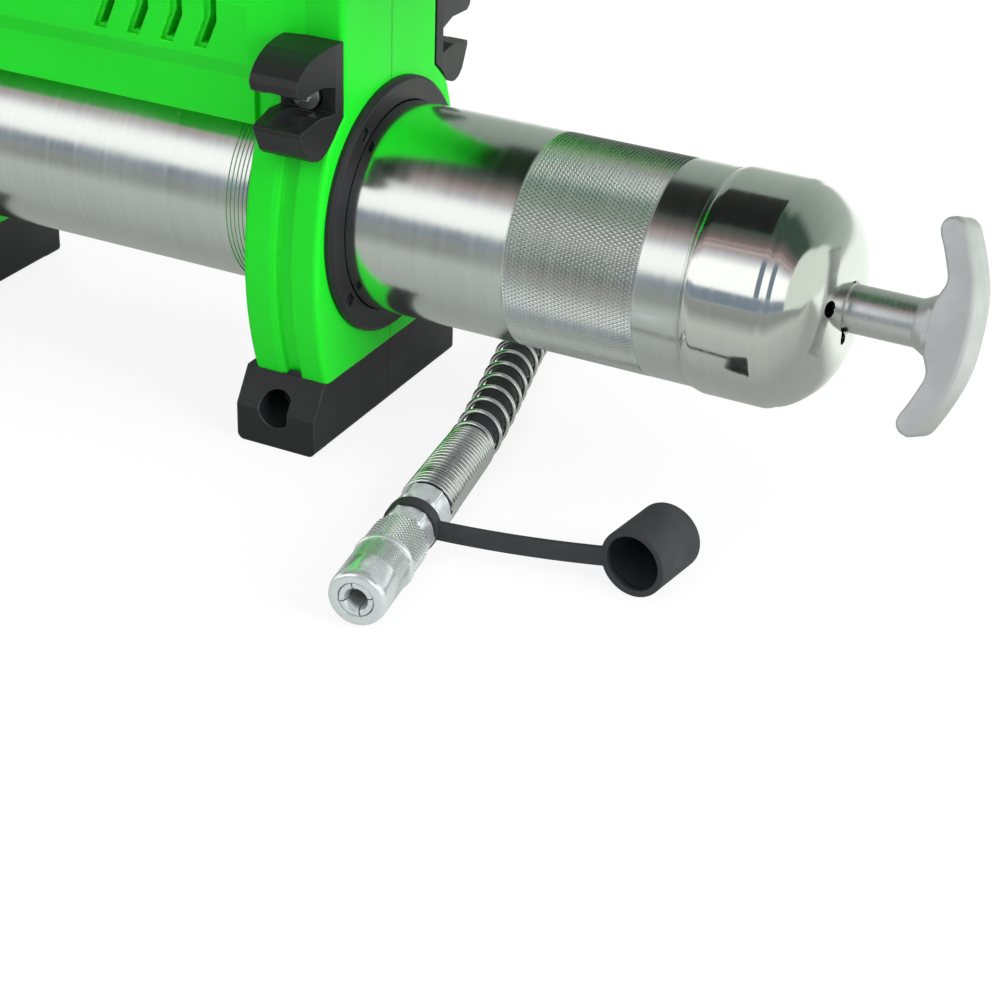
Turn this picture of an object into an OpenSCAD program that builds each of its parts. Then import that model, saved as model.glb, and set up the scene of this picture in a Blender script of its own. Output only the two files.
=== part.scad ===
// Cordless grease gun, standing on its two feet with its hose laid behind it and its coupler in front.
// Millimetres. +X is to the rear, where the T-handle is, and +Z is up. The gun is symmetric about Y = 0.
// The origin is on the floor, at the middle of the rear foot and right under the barrel's axis.

/* [Barrel] */
// Outside diameter of the grease barrel
barrel_d = 57; // [54:0.5:60]
// Wall of the barrel
barrel_wall = 1.6; // [1.2:0.1:2.4]
// Height of the barrel's axis above the floor
axis_h = 60.3; // [58:0.1:70]
// Length of the barrel in front of the origin
barrel_ahead = 146; // [140:1:150]
// Length of the barrel behind the origin
barrel_behind = 118; // [116:1:130]
// Place of the knurled band's front edge, behind the origin
knurl_start = 61; // [30:1:64]
// Length of the knurled band
knurl_len = 36.5; // [20:0.5:42]
// Depth of the turned grooves round the barrel
groove_depth = 0.3; // [0.1:0.05:0.6]
// Number of turned grooves round the barrel
groove_count = 5; // [2:1:8]

/* [End cap] */
// Wall of the pressed end cap
cap_wall = 0.9; // [0.6:0.1:1.4]
// Length of the cap's straight skirt
cap_skirt = 16; // [12:1:22]
// Length of the cap's dome
cap_dome = 22.5; // [16:0.5:28]
// How far the barrel reaches into the cap
cap_lap = 8; // [5:1:11]

/* [Follower] */
// Diameter of the follower rod
rod_d = 8; // [6:0.5:9]
// Diameter of the T-handle's stem
stem_d = 12.4; // [11:0.2:14]
// Length of the T-handle's stem in the open, from the cap to the bar
stem_len = 15; // [12:1:30]
// Length of the T-handle's bar, from tip to tip
bar_len = 57.6; // [50:0.2:70]
// Width of the T-handle's bar along the barrel
bar_w = 8; // [6:0.5:10]
// Depth of the T-handle's head, from the stem to the bar's back
bar_deep = 13.9; // [12:0.1:18]
// Thickness of the T-handle's bar across its flat faces
bar_thick = 9; // [6:0.5:12]
// Turn of the T-handle about its rod, in degrees
bar_turn = 21.8; // [0:0.1:90]
// Thickness of the follower's steel plate
follower_plate = 2; // [1.5:0.5:3]
// Depth of the follower's rubber cup
follower_cup = 9; // [6:1:12]
// Wire diameter of the follower spring
follower_wire = 2.4; // [1.6:0.1:2.8]

/* [Housing] */
// Thickness of the rear collar along the barrel
collar_t = 22.6; // [20:0.2:26]
// Outside radius of both collars
collar_r = 40.5; // [38:0.5:44]
// Half width of both collars at their flanks
collar_half = 38.8; // [37:0.2:42]
// Radius of the curved flanks, seen from behind
flank_r = 92; // [80:2:160]
// Width of the groove round the rear collar
collar_groove_w = 4.4; // [3:0.1:6]
// Depth of the groove round the rear collar
collar_groove_d = 1.6; // [0.8:0.1:2.4]
// Half width of the rear column
column_half = 24.8; // [22:0.1:27]
// Height of the skirt's lower edge above the barrel's axis
skirt_low = 25.4; // [24:0.1:27]
// Height of the step between skirt and side panel above the barrel's axis
step_low = 37.5; // [34:0.5:40]
// Height that the step takes
step_h = 5; // [2:0.5:6]
// Half width of the skirt
skirt_half = 26; // [25.5:0.5:28]
// Half width of the side panels
panel_half = 29; // [28.5:0.5:32]
// Height of the motor beam's top above the barrel's axis
beam_top = 74; // [72:1:80]
// Radius of the beam's rounded top
beam_round = 34; // [32:1:38]
// Half width of the handle's loop
handle_half = 17; // [15:0.5:19]
// Thickness of the grip from its underside to its top
grip_t = 37; // [32:1:42]
// Height of the grip's middle above the barrel's axis at the front post
grip_front_h = 118; // [112:1:126]
// Height of the grip's middle above the barrel's axis at the rear column
grip_rear_h = 136; // [130:1:140]

/* [Vents] */
// Number of vent slots in each side
vent_count = 4; // [2:1:5]
// Distance from one vent slot to the next
vent_pitch = 10.5; // [9:0.5:13]
// Width of a vent slot's opening
vent_w = 2.6; // [1.6:0.2:3.4]
// Height of a vent slot's slanted foot
vent_foot = 7.7; // [5:0.1:9]
// Height of a vent slot's upright part
vent_rise = 9; // [5:0.5:10]
// Sideways run of a vent slot's foot
vent_lean = 3.4; // [0:0.2:5]

/* [Bezel ring] */
// Outside diameter of the bezel ring
ring_d = 70; // [66:0.5:74]
// Thickness of the bezel ring's flange
ring_t = 2.4; // [1.6:0.1:3.5]
// Wall of the bushing that the ring carries inside the collar
ring_sleeve_t = 1.6; // [1.2:0.1:2]

/* [Feet] */
// Length of each foot along the barrel
foot_len = 24.4; // [20:0.2:28]
// Width of each foot
foot_w = 78.9; // [76:0.1:84]
// Height of each foot
foot_h = 20; // [17:0.5:22]
// Height of a foot's upright end face
foot_end_h = 10.7; // [8:0.1:13]
// Depth of the bevel above a foot's end face
foot_bevel = 5.9; // [3:0.1:7]
// Width of the pads that a foot stands on
foot_pad = 6; // [4:0.5:9]
// Height of the relief between a foot's pads
foot_relief = 0.9; // [0.5:0.1:2]
// Place of the front foot's middle, ahead of the origin
front_foot_x = 142.3; // [136:0.1:148]
// Diameter of the blind hole in a foot's end
foot_hole_d = 10.2; // [6:0.2:11]

/* [Hose clips] */
// Length of each hose clip along the barrel
clip_len = 16.5; // [12:0.5:22]
// Thickness of a clip's base plate
clip_base = 3.7; // [2.5:0.1:5]
// Height of a clip's mouth
clip_mouth = 8; // [6:0.5:10]
// Height of the mouth's middle above the barrel's axis
clip_mid = 38; // [37:0.5:41]

/* [Pump head] */
// Outside radius of the pump head's round body
head_r = 33.5; // [32:0.5:35]
// How far the pump head reaches in front of the front foot
head_reach = 38; // [30:1:50]
// Width of the pump head's tower
tower_w = 40; // [34:1:46]
// Height of the outlet's middle above the barrel's axis
outlet_h = 22; // [16:1:24]

/* [Battery] */
// Length of the battery pack
pack_len = 98; // [85:1:110]
// Width of the battery pack
pack_w = 74; // [64:1:80]
// Height of the battery pack
pack_h = 47; // [40:1:49]

/* [Hose] */
// Outside diameter of the rubber hose
hose_d = 10; // [8:0.5:10.5]
// Wire diameter of the hose guard's spring
guard_wire = 1.4; // [0.8:0.1:1.5]
// Outside diameter of the hose guard's spring
guard_d = 13.6; // [13.6:0.1:14]
// Number of close turns at the coupler end of the guard
guard_close = 14; // [6:1:14]
// Number of open turns of the guard
guard_open = 12; // [4:1:14]

/* [Coupler] */
// Diameter of the coupler's sleeve
coupler_d = 15.2; // [14.6:0.1:16]
// Diameter of the coupler's neck
neck_d = 12.2; // [11:0.1:12.6]
// Width of the hose nut across its flats
nut_flats = 13; // [12:0.1:13.6]
// Diameter of the coupler's nose opening
nose_bore = 4.8; // [4.4:0.1:6]

/* [Dust cap] */
// Outside diameter of the dust cap
dust_d = 18; // [17.4:0.1:20]
// Length of the dust cap
dust_len = 19; // [15:0.5:24]
// Thickness of the strap
strap_t = 1.4; // [1:0.1:1.8]
// Height of the strap
strap_h = 5.5; // [4:0.5:7]

/* [Hidden] */

green = [0.16, 0.85, 0.22];
black = [0.1, 0.1, 0.11];
rubber = [0.06, 0.06, 0.07];
steel = [0.75, 0.76, 0.76];
zinc = [0.7, 0.72, 0.72];
cast = [0.68, 0.69, 0.7];

// Clearance of pieces that slide or turn in each other
run_gap = 0.3;
// Clearance of pieces that are assembled and stay
fit_gap = 0.05;
barrel_r = barrel_d / 2;
barrel_in = barrel_r - barrel_wall;

// Places along the barrel
cap_front = barrel_behind - cap_lap;
cap_out_r = barrel_r + fit_gap + cap_wall;
dome_start = cap_front + cap_skirt;
cap_end = dome_start + cap_dome;
stem_front = cap_end - 3;
bar_front = cap_end + stem_len;
collar_rear = 13;
collar_front = collar_rear - collar_t;
column_front = -13;
groove_front = 0.8;
groove_rear = groove_front + collar_groove_w;
front_collar_front = -front_foot_x - foot_len / 2;
front_collar_rear = -front_foot_x + foot_len / 2;
beam_front = front_collar_front;
head_front = front_collar_front - head_reach;
socket_bottom = -barrel_ahead - 2;

// Heights
beam_z = axis_h + beam_top;
motor_z = axis_h + 51;
motor_r = 17.4;
motor_len = 66;
motor_rear = beam_front + 118.5;
cavity_r = motor_r + 0.8;

// Moves a flat shape drawn in Y and Z from x0 to x1
module along_x(x0, x1) {
    translate([x0, 0, 0]) rotate([90, 0, 90]) linear_extrude(x1 - x0) children();
}

// Moves a flat shape drawn in X and Z from y0 to y1
module along_y(y0, y1) {
    translate([0, y1, 0]) rotate([90, 0, 0]) linear_extrude(y1 - y0) children();
}

// A tube or disc along X at the barrel's axis
module round_x(x0, x1, r, z = axis_h, y = 0, fn = 96) {
    translate([x0, y, z]) rotate([0, 90, 0]) cylinder(h = x1 - x0, r = r, $fn = fn);
}

// A rectangle with round corners, about its middle
module round_rect(w, h, r) {
    square([w - 2 * r, h], center = true);
    square([w, h - 2 * r], center = true);
    for (sx = [-1, 1], sy = [-1, 1])
        translate([sx * (w / 2 - r), sy * (h / 2 - r)]) circle(r, $fn = 32);
}

// Spins a profile of radius and place along X about the barrel's axis
module turned(points, fn = 96) {
    translate([0, 0, axis_h]) rotate([0, 90, 0]) rotate_extrude($fn = fn)
        polygon([for (p = points) [p[1], p[0]]]);
}

// Keeps the half of a shape on the side of the given sign
module half(side) {
    intersection() {
        children();
        translate([-300, side > 0 ? 0 : -150, -10]) cube([600, 150, 400]);
    }
}

// Barrel and end cap

groove_pitch = 1.6;
groove_start = -43;
knurl_rise = 0.15;

module barrel_tube() {
    grooves = [for (i = [0 : groove_count - 1]) each [
        [groove_start + i * groove_pitch, barrel_r],
        [groove_start + (i + 0.25) * groove_pitch, barrel_r - groove_depth],
        [groove_start + (i + 0.55) * groove_pitch, barrel_r - groove_depth],
        [groove_start + (i + 0.8) * groove_pitch, barrel_r]]];
    knurl_end = knurl_start + knurl_len;
    color(zinc) turned(concat(
        [[-barrel_ahead, barrel_in], [-barrel_ahead, barrel_r - 0.5], [0.5 - barrel_ahead, barrel_r]],
        grooves,
        [[knurl_start, barrel_r], [knurl_start + 0.3, barrel_r + knurl_rise],
        [knurl_end - 0.3, barrel_r + knurl_rise], [knurl_end, barrel_r],
        [barrel_behind, barrel_r], [barrel_behind, barrel_in]]), 128);
}

// Outline of the dome from the skirt to the rod's hole, offset inwards by a wall
dome_foot = 0.35;
dome_tip_r = 5;
function dome(wall) = [for (a = [0 : 8 : 80])
    [dome_start + 0.6 + (cap_dome - 0.9 - wall) * sin(a),
    dome_tip_r + (cap_out_r - dome_foot - dome_tip_r - wall) * pow(cos(a), 1.12)]];

vent_hole_d = 3.4;
vent_hole_y = 17.2;
keyhole_w = 4.4;
keyhole_reach = 13.6;

module end_cap() {
    outer = dome(0);
    inner = dome(cap_wall);
    color(steel) difference() {
        turned(concat(
            [[cap_front, cap_out_r - cap_wall], [cap_front, cap_out_r - 0.4], [cap_front + 0.5, cap_out_r],
            [dome_start - 0.4, cap_out_r]],
            outer,
            [[cap_end - 0.4, stem_d / 2 + run_gap + 0.6], [cap_end - 0.4, stem_d / 2 + run_gap]],
            [[cap_end - cap_wall - 0.6, stem_d / 2 + run_gap]],
            [for (i = [len(inner) - 1 : -1 : 0]) inner[i]],
            [[dome_start - 0.4, cap_out_r - cap_wall]]), 128);
        translate([dome_start + 5, -vent_hole_y, axis_h + vent_hole_y * 0.4]) rotate([0, 90, 0])
            cylinder(h = cap_dome, d = vent_hole_d, $fn = 24);
        translate([dome_start + 5, -keyhole_reach, axis_h - 1.5 - keyhole_w / 2])
            cube([cap_dome, keyhole_reach - stem_d / 4, keyhole_w]);
    }
}

// Follower rod, T-handle, follower and its spring

follower_x = 74;
rod_front = -barrel_ahead + 14;

module follower_rod() {
    color(steel) round_x(rod_front, bar_front - 2, rod_d / 2, fn = 48);
}

bar_rear = bar_front + bar_deep;
bar_edge = 1.5;
web_r = 5;

// The T-handle's outline, drawn along the bar and to the rear, set in by an amount
module bar_outline(inset = 0) {
    tip_r = bar_w / 2;
    arc_r = 1.46 * bar_len / 2;
    middle = bar_rear - tip_r - arc_r;
    tip_turn = asin((bar_len / 2 - tip_r) / arc_r);
    inner = arc_r - tip_r;
    web_y = stem_d / 2 + 1.2 * web_r;
    translate([middle, 0]) {
        intersection() {
            difference() {
                circle(arc_r + tip_r - inset, $fn = 128);
                circle(inner + inset, $fn = 128);
            }
            polygon([[0, 0], 2 * arc_r * [cos(tip_turn), sin(tip_turn)], 2 * arc_r * [cos(tip_turn), -sin(tip_turn)]]);
        }
        for (s = [-1, 1]) rotate(s * tip_turn) translate([arc_r, 0]) circle(tip_r - inset, $fn = 48);
    }
    difference() {
        translate([bar_front - 1 + inset, -web_y]) square([bar_deep / 2, 2 * web_y]);
        for (s = [-1, 1]) translate([bar_front - 1.6, s * (stem_d / 2 + web_r - 0.5)])
            circle(web_r + inset, $fn = 48);
    }
}

module t_handle() {
    color(cast) difference() {
        union() {
            round_x(stem_front, bar_front + 4, stem_d / 2, fn = 48);
            translate([0, 0, axis_h]) rotate([90 - bar_turn, 0, 0]) {
                translate([0, 0, bar_edge - bar_thick / 2]) linear_extrude(bar_thick - 2 * bar_edge) bar_outline();
                translate([0, 0, 0.5 - bar_thick / 2]) linear_extrude(bar_thick - 1) bar_outline(0.5);
                translate([0, 0, -bar_thick / 2]) linear_extrude(bar_thick) bar_outline(bar_edge);
            }
        }
        round_x(stem_front - 1, bar_front - 2, rod_d / 2 + fit_gap, fn = 48);
    }
}

module follower_plate_disc() {
    color(steel) difference() {
        round_x(follower_x, follower_x + follower_plate, barrel_in - 2.5);
        round_x(follower_x - 1, follower_x + follower_plate + 1, rod_d / 2 + run_gap, fn = 48);
    }
}

module follower_rubber() {
    lip = barrel_in - run_gap;
    back = follower_x - fit_gap;
    front = back - follower_cup;
    hole = rod_d / 2 + run_gap;
    color(rubber) turned([[back, hole], [back, lip - 1.5], [front, lip], [front, lip - 2],
        [back - 2.5, lip - 4], [back - 2.5, hole + 3], [back - 5, hole + 2], [back - 5, hole]]);
}

follower_turns = 8;
follower_coil_r = 17.5;
spring_front = follower_x + follower_plate + follower_wire / 2 + fit_gap;
spring_rear = dome_start + (cap_dome - 1 - cap_wall) * sin(58) - follower_wire / 2;

// Place of the follower spring's wire along the barrel after some turns: close end turns, even ones between
function spring_x(t) =
    let (close = 1.06 * follower_wire, free = spring_rear - spring_front - 2 * close)
    spring_front + close * (min(t, 1) + max(t - follower_turns + 1, 0))
    + free * min(max(t - 1, 0), follower_turns - 2) / (follower_turns - 2);

module follower_spring() {
    steps = 12;
    color(zinc) skin([for (i = [0 : follower_turns * steps])
        let (a = 360 * i / steps, out = [0, cos(a), sin(a)])
        [for (j = [0 : 5]) [spring_x(i / steps), 0, axis_h] + follower_coil_r * out
            + follower_wire / 2 * (cos(60 * j) * out - sin(60 * j) * [1, 0, 0])]]);
}

gasket_t = 1.8;

module barrel_gasket() {
    color(rubber) difference() {
        round_x(socket_bottom, -barrel_ahead - fit_gap, barrel_r - 0.4);
        round_x(socket_bottom - 1, -barrel_ahead + 1, barrel_in - 1.5);
    }
}

// Pump head and its fittings

head_lip = 3;
tower_front = head_front + 4;
tower_rear = front_collar_front - fit_gap;
tower_top = axis_h + 58;
plug_x = (tower_front + tower_rear) / 2;
flange_z = axis_h + 46;
bolt_y = 15;
bolt_z = 14;
outlet_z = axis_h + outlet_h;
outlet_x = head_front;
port_d = 9.6;

// The tower's outline from the front
module tower_outline() {
    translate([-tower_w / 2, axis_h]) square([tower_w, tower_top - axis_h - 8]);
    translate([-tower_w / 2 + 8, axis_h]) square([tower_w - 16, tower_top - axis_h]);
    for (s = [-1, 1]) translate([s * (tower_w / 2 - 8), tower_top - 8]) circle(8, $fn = 32);
}

module pump_head() {
    color(cast) difference() {
        union() {
            turned([[front_collar_rear + head_lip, 0], [front_collar_rear + head_lip, head_r - 1],
                [front_collar_rear + head_lip - 1, head_r], [head_front + 9, head_r],
                [head_front + 4, head_r - 3], [head_front + 4, 0]]);
            along_x(tower_front, tower_rear) tower_outline();
            round_x(head_front, head_front + 10, 10, outlet_z, fn = 48);
            along_y(-tower_w / 2 - 3, tower_w / 2 + 3)
                translate([plug_x, flange_z - 10]) circle(8, $fn = 48);
        }
        round_x(-barrel_ahead - 2, front_collar_rear + 4, barrel_r + 0.08);
        round_x(-barrel_ahead - 10, -barrel_ahead, 20);
        round_x(head_front - 1, head_front + 7, port_d / 2, outlet_z, fn = 48);
        for (s = [-1, 1]) translate([plug_x, 0, flange_z - 10]) rotate([90, 0, 0])
            translate([0, 0, s > 0 ? tower_w / 2 - 5 : -tower_w / 2 - 4]) cylinder(h = 9, d = port_d, $fn = 48);
        translate([plug_x, 0, tower_top - 12]) cylinder(h = 20, d = 16, $fn = 48);
        for (y = [-1, 1], z = [-1, 1]) round_x(tower_front - 1, tower_front + 12, 2.6,
            axis_h + 40 + z * bolt_z, y * bolt_y * 0.95, 24);
    }
}

module plunger_plug() {
    color(zinc) translate([plug_x, 0, tower_top - 12]) {
        cylinder(h = 12, d = 16 - 2 * fit_gap, $fn = 48);
        translate([0, 0, 12]) cylinder(h = 6, d = 19, $fn = 6);
    }
}

// Four socket screws that hold the head to the gear case
module head_bolts() {
    color(steel) for (y = [-1, 1], z = [-1, 1])
        translate([tower_front - 4.5, y * bolt_y * 0.95, axis_h + 40 + z * bolt_z]) rotate([0, 90, 0])
            difference() {
                union() {
                    cylinder(h = 4.5, d = 8.5, $fn = 32);
                    cylinder(h = 15, d = 5.1, $fn = 32);
                }
                translate([0, 0, -1]) cylinder(h = 3.5, d = 4.6, $fn = 6);
            }
}

bleed_y = -tower_w / 2 - 3;

// Vent screw on the near side: knurled head with a ball end
module air_bleeder() {
    color(zinc) translate([plug_x, bleed_y, flange_z - 10]) rotate([90, 0, 0]) {
        translate([0, 0, -7]) cylinder(h = 7, d = port_d - 0.14, $fn = 48);
        cylinder(h = 3, d = 12, $fn = 48);
        translate([0, 0, 3]) cylinder(h = 6, d = 7, $fn = 32);
    }
}

module loader_fitting() {
    color(zinc) translate([plug_x, -bleed_y, flange_z - 10]) rotate([-90, 0, 0]) {
        translate([0, 0, -7]) cylinder(h = 7, d = port_d - 2 * fit_gap, $fn = 48);
        cylinder(h = 4, d = 13, $fn = 6);
        translate([0, 0, 4]) rotate_extrude($fn = 32)
            polygon([[0, 0], [4.2, 0], [4.2, 4], [2.6, 6], [2.6, 8], [3.3, 9.5], [2.4, 12], [0, 12]]);
    }
}

module relief_valve() {
    color(zinc) translate([head_front + 4, -14, axis_h - 6]) rotate([0, -90, 0]) {
        cylinder(h = 5, d = 13, $fn = 6);
        translate([0, 0, 5]) cylinder(h = 6, d = 8, $fn = 32);
    }
}

outlet_nut = 8;

// Elbow-free swivel nut and its threaded end in the outlet port
module outlet_fitting() {
    color(zinc) {
        round_x(head_front, head_front + 7 - fit_gap, port_d / 2 - fit_gap, outlet_z, fn = 48);
        translate([head_front - outlet_nut, 0, outlet_z]) rotate([0, 90, 0])
            cylinder(h = outlet_nut, d = 15, $fn = 6);
    }
}

ferrule_len = 20;
ferrule_d = 14;

module hose_ferrule() {
    x0 = head_front - outlet_nut - ferrule_len;
    color(zinc) difference() {
        round_x(x0, x0 + ferrule_len, ferrule_d / 2, outlet_z, fn = 48);
        round_x(x0 - 1, x0 + ferrule_len - 5, hose_d / 2 + run_gap, outlet_z, fn = 48);
        for (i = [0 : 2]) translate([x0 + 4 + i * 5, 0, outlet_z]) rotate([0, 90, 0])
            rotate_extrude($fn = 48) translate([ferrule_d / 2 + 0.4, 0]) circle(1, $fn = 16);
    }
}

// Hose: its middle line from the outlet, over the floor behind the gun, to the coupler
hose_start = head_front - outlet_nut - ferrule_len + 14;
route = [
    [hose_start, 0, outlet_z],
    [hose_start - 18, 0, outlet_z],
    [-250, 2, 84],
    [-274, 12, 78],
    [-290, 32, 62],
    [-292, 58, 42],
    [-280, 84, 24],
    [-258, 107, 11],
    [-228, 126, 6],
    [-190, 140, 5.4],
    [-145, 148, 5.4],
    [-100, 152, 5.4],
    [-56, 150, 5.4],
    [-16, 138, 6],
    [10, 116, 7],
    [24, 88, 7],
    [31, 62, 7],
    [36, 38, 7],
    [41, 19, 7],
    [45, 4, 7],
    [48.5, -10, 7],
    [51.5, -24, 7.2],
    [54, -38, 7.8],
    [56.4, -53, 8]];

// Coupler: its axis runs from the nut to the nose, level above the floor
nut_at = [56.6, -54];
nose_at = [64.6, -106.3];
bead_rise = 0.35;
couple_h = coupler_d / 2 + bead_rise + 0.05;
couple_run = nose_at - nut_at;
couple_len = norm(couple_run);
couple_turn = atan2(couple_run[1], couple_run[0]);
nut_len = 9;
nut_from = couple_len - nut_len / 2 - 1;
strap_at = 43;
neck_from = 36;
ridge_at = 25;
jaw_wall = 1.5;

// Puts a shape drawn along Z from the nose towards the hose in place
module at_nose(s = 0) {
    translate([nose_at[0], nose_at[1], couple_h]) rotate([0, 0, couple_turn + 180]) rotate([0, 90, 0])
        translate([0, 0, s]) children();
}

function unit(v) = v / norm(v);
// A smooth curve through the route's points
function curve(p0, p1, p2, p3, t) = 0.5 * (2 * p1 + (p2 - p0) * t
    + (2 * p0 - 5 * p1 + 4 * p2 - p3) * t * t + (3 * p1 - p0 - 3 * p2 + p3) * t * t * t);
function on_route(u) =
    let (last = len(route) - 1, i = min(floor(u), last - 1), t = u - i)
    curve(route[max(i - 1, 0)], route[i], route[i + 1], route[min(i + 2, last)], t);
function heading(u) =
    let (e = 0.02, last = len(route) - 1)
    unit(on_route(min(u + e, last)) - on_route(max(u - e, 0)));
// Directions across the route, level and upright
function level(u) = unit(cross([0, 0, 1], heading(u)));
function upright(u) = cross(heading(u), level(u));

// Sweeps rings of points into one closed solid
module skin(rings) {
    n = len(rings[0]);
    m = len(rings);
    sides = [for (i = [0 : m - 2], j = [0 : n - 1])
        [i * n + j, (i + 1) * n + j, (i + 1) * n + (j + 1) % n, i * n + (j + 1) % n]];
    polyhedron([for (r = rings) each r],
        concat(sides, [[for (j = [0 : n - 1]) j]], [[for (j = [n - 1 : -1 : 0]) (m - 1) * n + j]]));
}

hose_rings = 58;
hose_sides = 10;

module hose() {
    last = len(route) - 1;
    color(rubber) skin([for (i = [0 : hose_rings - 1])
        let (u = last * i / (hose_rings - 1), at = on_route(u), a = level(u), b = upright(u))
        [for (j = [0 : hose_sides - 1]) let (t = -360 * j / hose_sides)
            at + hose_d / 2 * (cos(t) * a + sin(t) * b)]]);
}

coil_r = guard_d / 2 - guard_wire / 2;
close_pitch = 1.7;
open_pitch = 7.8;
guard_start = 5.2;
turn_steps = 12;
spans = [for (i = [0 : len(route) - 2]) norm(route[i + 1] - route[i])];

// Route parameter at a distance back from the coupler's end of the hose
function back_along(d, i) = (d <= spans[i] || i == 0) ? i + 1 - d / spans[i] : back_along(d - spans[i], i - 1);
// Distance of the guard's wire from the hose's end after some turns, and its radius there
function guard_at(t) = guard_start + close_pitch * min(t, guard_close) + open_pitch * max(t - guard_close, 0);
function guard_r(t) = coil_r + 0.6 * max(1 - t / guard_close, 0);

// One wire: close turns at the coupler's end, open ones along the hose
module hose_guard() {
    turns = guard_close + guard_open;
    color(steel) skin([for (i = [0 : turns * turn_steps])
        let (t = i / turn_steps, u = back_along(guard_at(t), len(spans) - 1),
            out = cos(360 * t) * level(u) + sin(360 * t) * upright(u),
            along = heading(u), at = on_route(u) + guard_r(t) * out)
        [for (j = [0 : 5]) at + guard_wire / 2 * (cos(60 * j) * out + sin(60 * j) * along)]]);
}

module hose_nut() {
    color(zinc) at_nose() {
        difference() {
            translate([0, 0, nut_from]) cylinder(h = nut_len, r = nut_flats / sqrt(3), $fn = 6);
            translate([0, 0, nut_from + nut_len - 3.4]) cylinder(h = 4, d = hose_d + 0.3, $fn = 48);
        }
    }
}

module coupler_body() {
    color(zinc) at_nose() difference() {
        union() {
            translate([0, 0, 3]) cylinder(h = 30, d = coupler_d - 3.2, $fn = 48);
            translate([0, 0, neck_from - 3]) 
                cylinder(h = nut_from - neck_from + 3, d = neck_d, $fn = 48);
        }
        translate([0, 0, 2]) cylinder(h = 9, d = nose_bore + 2 * jaw_wall + 0.2, $fn = 48);
        translate([0, 0, 1]) cylinder(h = 40, d = 3, $fn = 24);
    }
}

// Outer sleeve: rounded nose, bead in the middle and a knurled band that narrows to the neck
module coupler_sleeve() {
    r = coupler_d / 2;
    bore = (coupler_d - 3.2) / 2 + 0.06;
    lip = nose_bore / 2 + jaw_wall + 0.15;
    color(steel) at_nose() rotate_extrude($fn = 64)
        polygon([[lip, 0], [r - 1.6, 0], [r - 0.6, 0.5], [r, 1.8], [r, ridge_at - 1],
            [r + bead_rise, ridge_at - 0.5], [r + bead_rise, ridge_at + 0.5], [r, ridge_at + 1],
            [r - 0.5, neck_from - 4], [r - 1.3, neck_from - 3.2],
            [bore, neck_from - 3.2], [bore, 2.6], [lip, 2.6]]);
}

// Four spring jaws round the nose opening
module coupler_jaws() {
    color(zinc) at_nose() difference() {
        translate([0, 0, 0.3]) cylinder(h = 10, d = nose_bore + 2 * jaw_wall, $fn = 48);
        translate([0, 0, -1]) cylinder(h = 14, d = nose_bore, $fn = 48);
        for (a = [0, 90]) rotate([0, 0, a]) translate([-8, -0.3, -1]) cube([16, 0.6, 8]);
    }
}

// Dust cap, lying with its mouth to the front, and the strap that ties it to the coupler's neck
dust_at = [115.1, -60.5];
dust_turn = 82.5;
strap_ring_w = 1.5;
strap_end = [106.6, -58.6];

function strap_line(t) =
    let (from = [nose_at[0], nose_at[1]] - (strap_at + strap_ring_w / 2) * unit(couple_run) + [neck_d / 2 + 1, 0])
    from + (strap_end - from) * t + [0, 2.6 * 4 * t * (1 - t)];

module dust_cap() {
    steps = 12;
    color(rubber) {
        translate([dust_at[0], dust_at[1], dust_d / 2]) rotate([0, 0, dust_turn]) rotate([0, 90, 0]) difference() {
            cylinder(h = dust_len, d = dust_d, $fn = 64);
            translate([0, 0, -1]) cylinder(h = dust_len - 0.8, d = coupler_d + 0.4, $fn = 64);
        }
        at_nose(strap_at) difference() {
            cylinder(h = strap_ring_w, d = neck_d + 3.2, $fn = 48);
            translate([0, 0, -1]) cylinder(h = 4, d = neck_d + 0.1, $fn = 48);
        }
        translate([0, 0, couple_h - strap_h / 2]) linear_extrude(strap_h) polygon(concat(
            [for (i = [0 : steps]) strap_line(i / steps) + [0, strap_t / 2]],
            [for (i = [steps : -1 : 0]) strap_line(i / steps) - [0, strap_t / 2]]));
    }
}

// Housing

// A disc along X whose two rims are eased: e is [how far along, how deep] at the front and at the rear
module eased_disc(x0, x1, r, y, z, e0, e1) {
    translate([0, y, z - axis_h]) turned([[x0, 0], [x0, r - e0[1]], [x0 + 0.3 * e0[0], r - 0.3 * e0[1]],
        [x0 + e0[0], r], [x1 - e1[0], r], [x1 - 0.3 * e1[0], r - 0.3 * e1[1]], [x1, r - e1[1]], [x1, 0]], 192);
}

// One ring of a collar: round on top, gently curved flanks and a flat bottom on the foot
module collar_ring(x0, x1, inset, e0, e1) {
    intersection() {
        union() {
            eased_disc(x0, x1, collar_r - inset, 0, axis_h, e0, e1);
            translate([x0, -collar_half, foot_h]) cube([x1 - x0, 2 * collar_half, axis_h - foot_h]);
        }
        eased_disc(x0, x1, flank_r - inset, flank_r - collar_half, axis_h - flank_drop, e0, e1);
        eased_disc(x0, x1, flank_r - inset, collar_half - flank_r, axis_h - flank_drop, e0, e1);
        translate([x0, -60, foot_h]) cube([x1 - x0, 120, 90]);
    }
}

collar_edge = [1.3, 1.2];
groove_slope = 2.5;
flank_drop = 10;

module rear_collar() {
    collar_ring(collar_front, groove_front, 0, collar_edge, [groove_slope, collar_groove_d]);
    collar_ring(groove_front - 0.5, groove_rear + 0.5, collar_groove_d, [0, 0], [0, 0]);
    collar_ring(groove_rear, collar_rear, 0, [0, 0], collar_edge);
}

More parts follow.
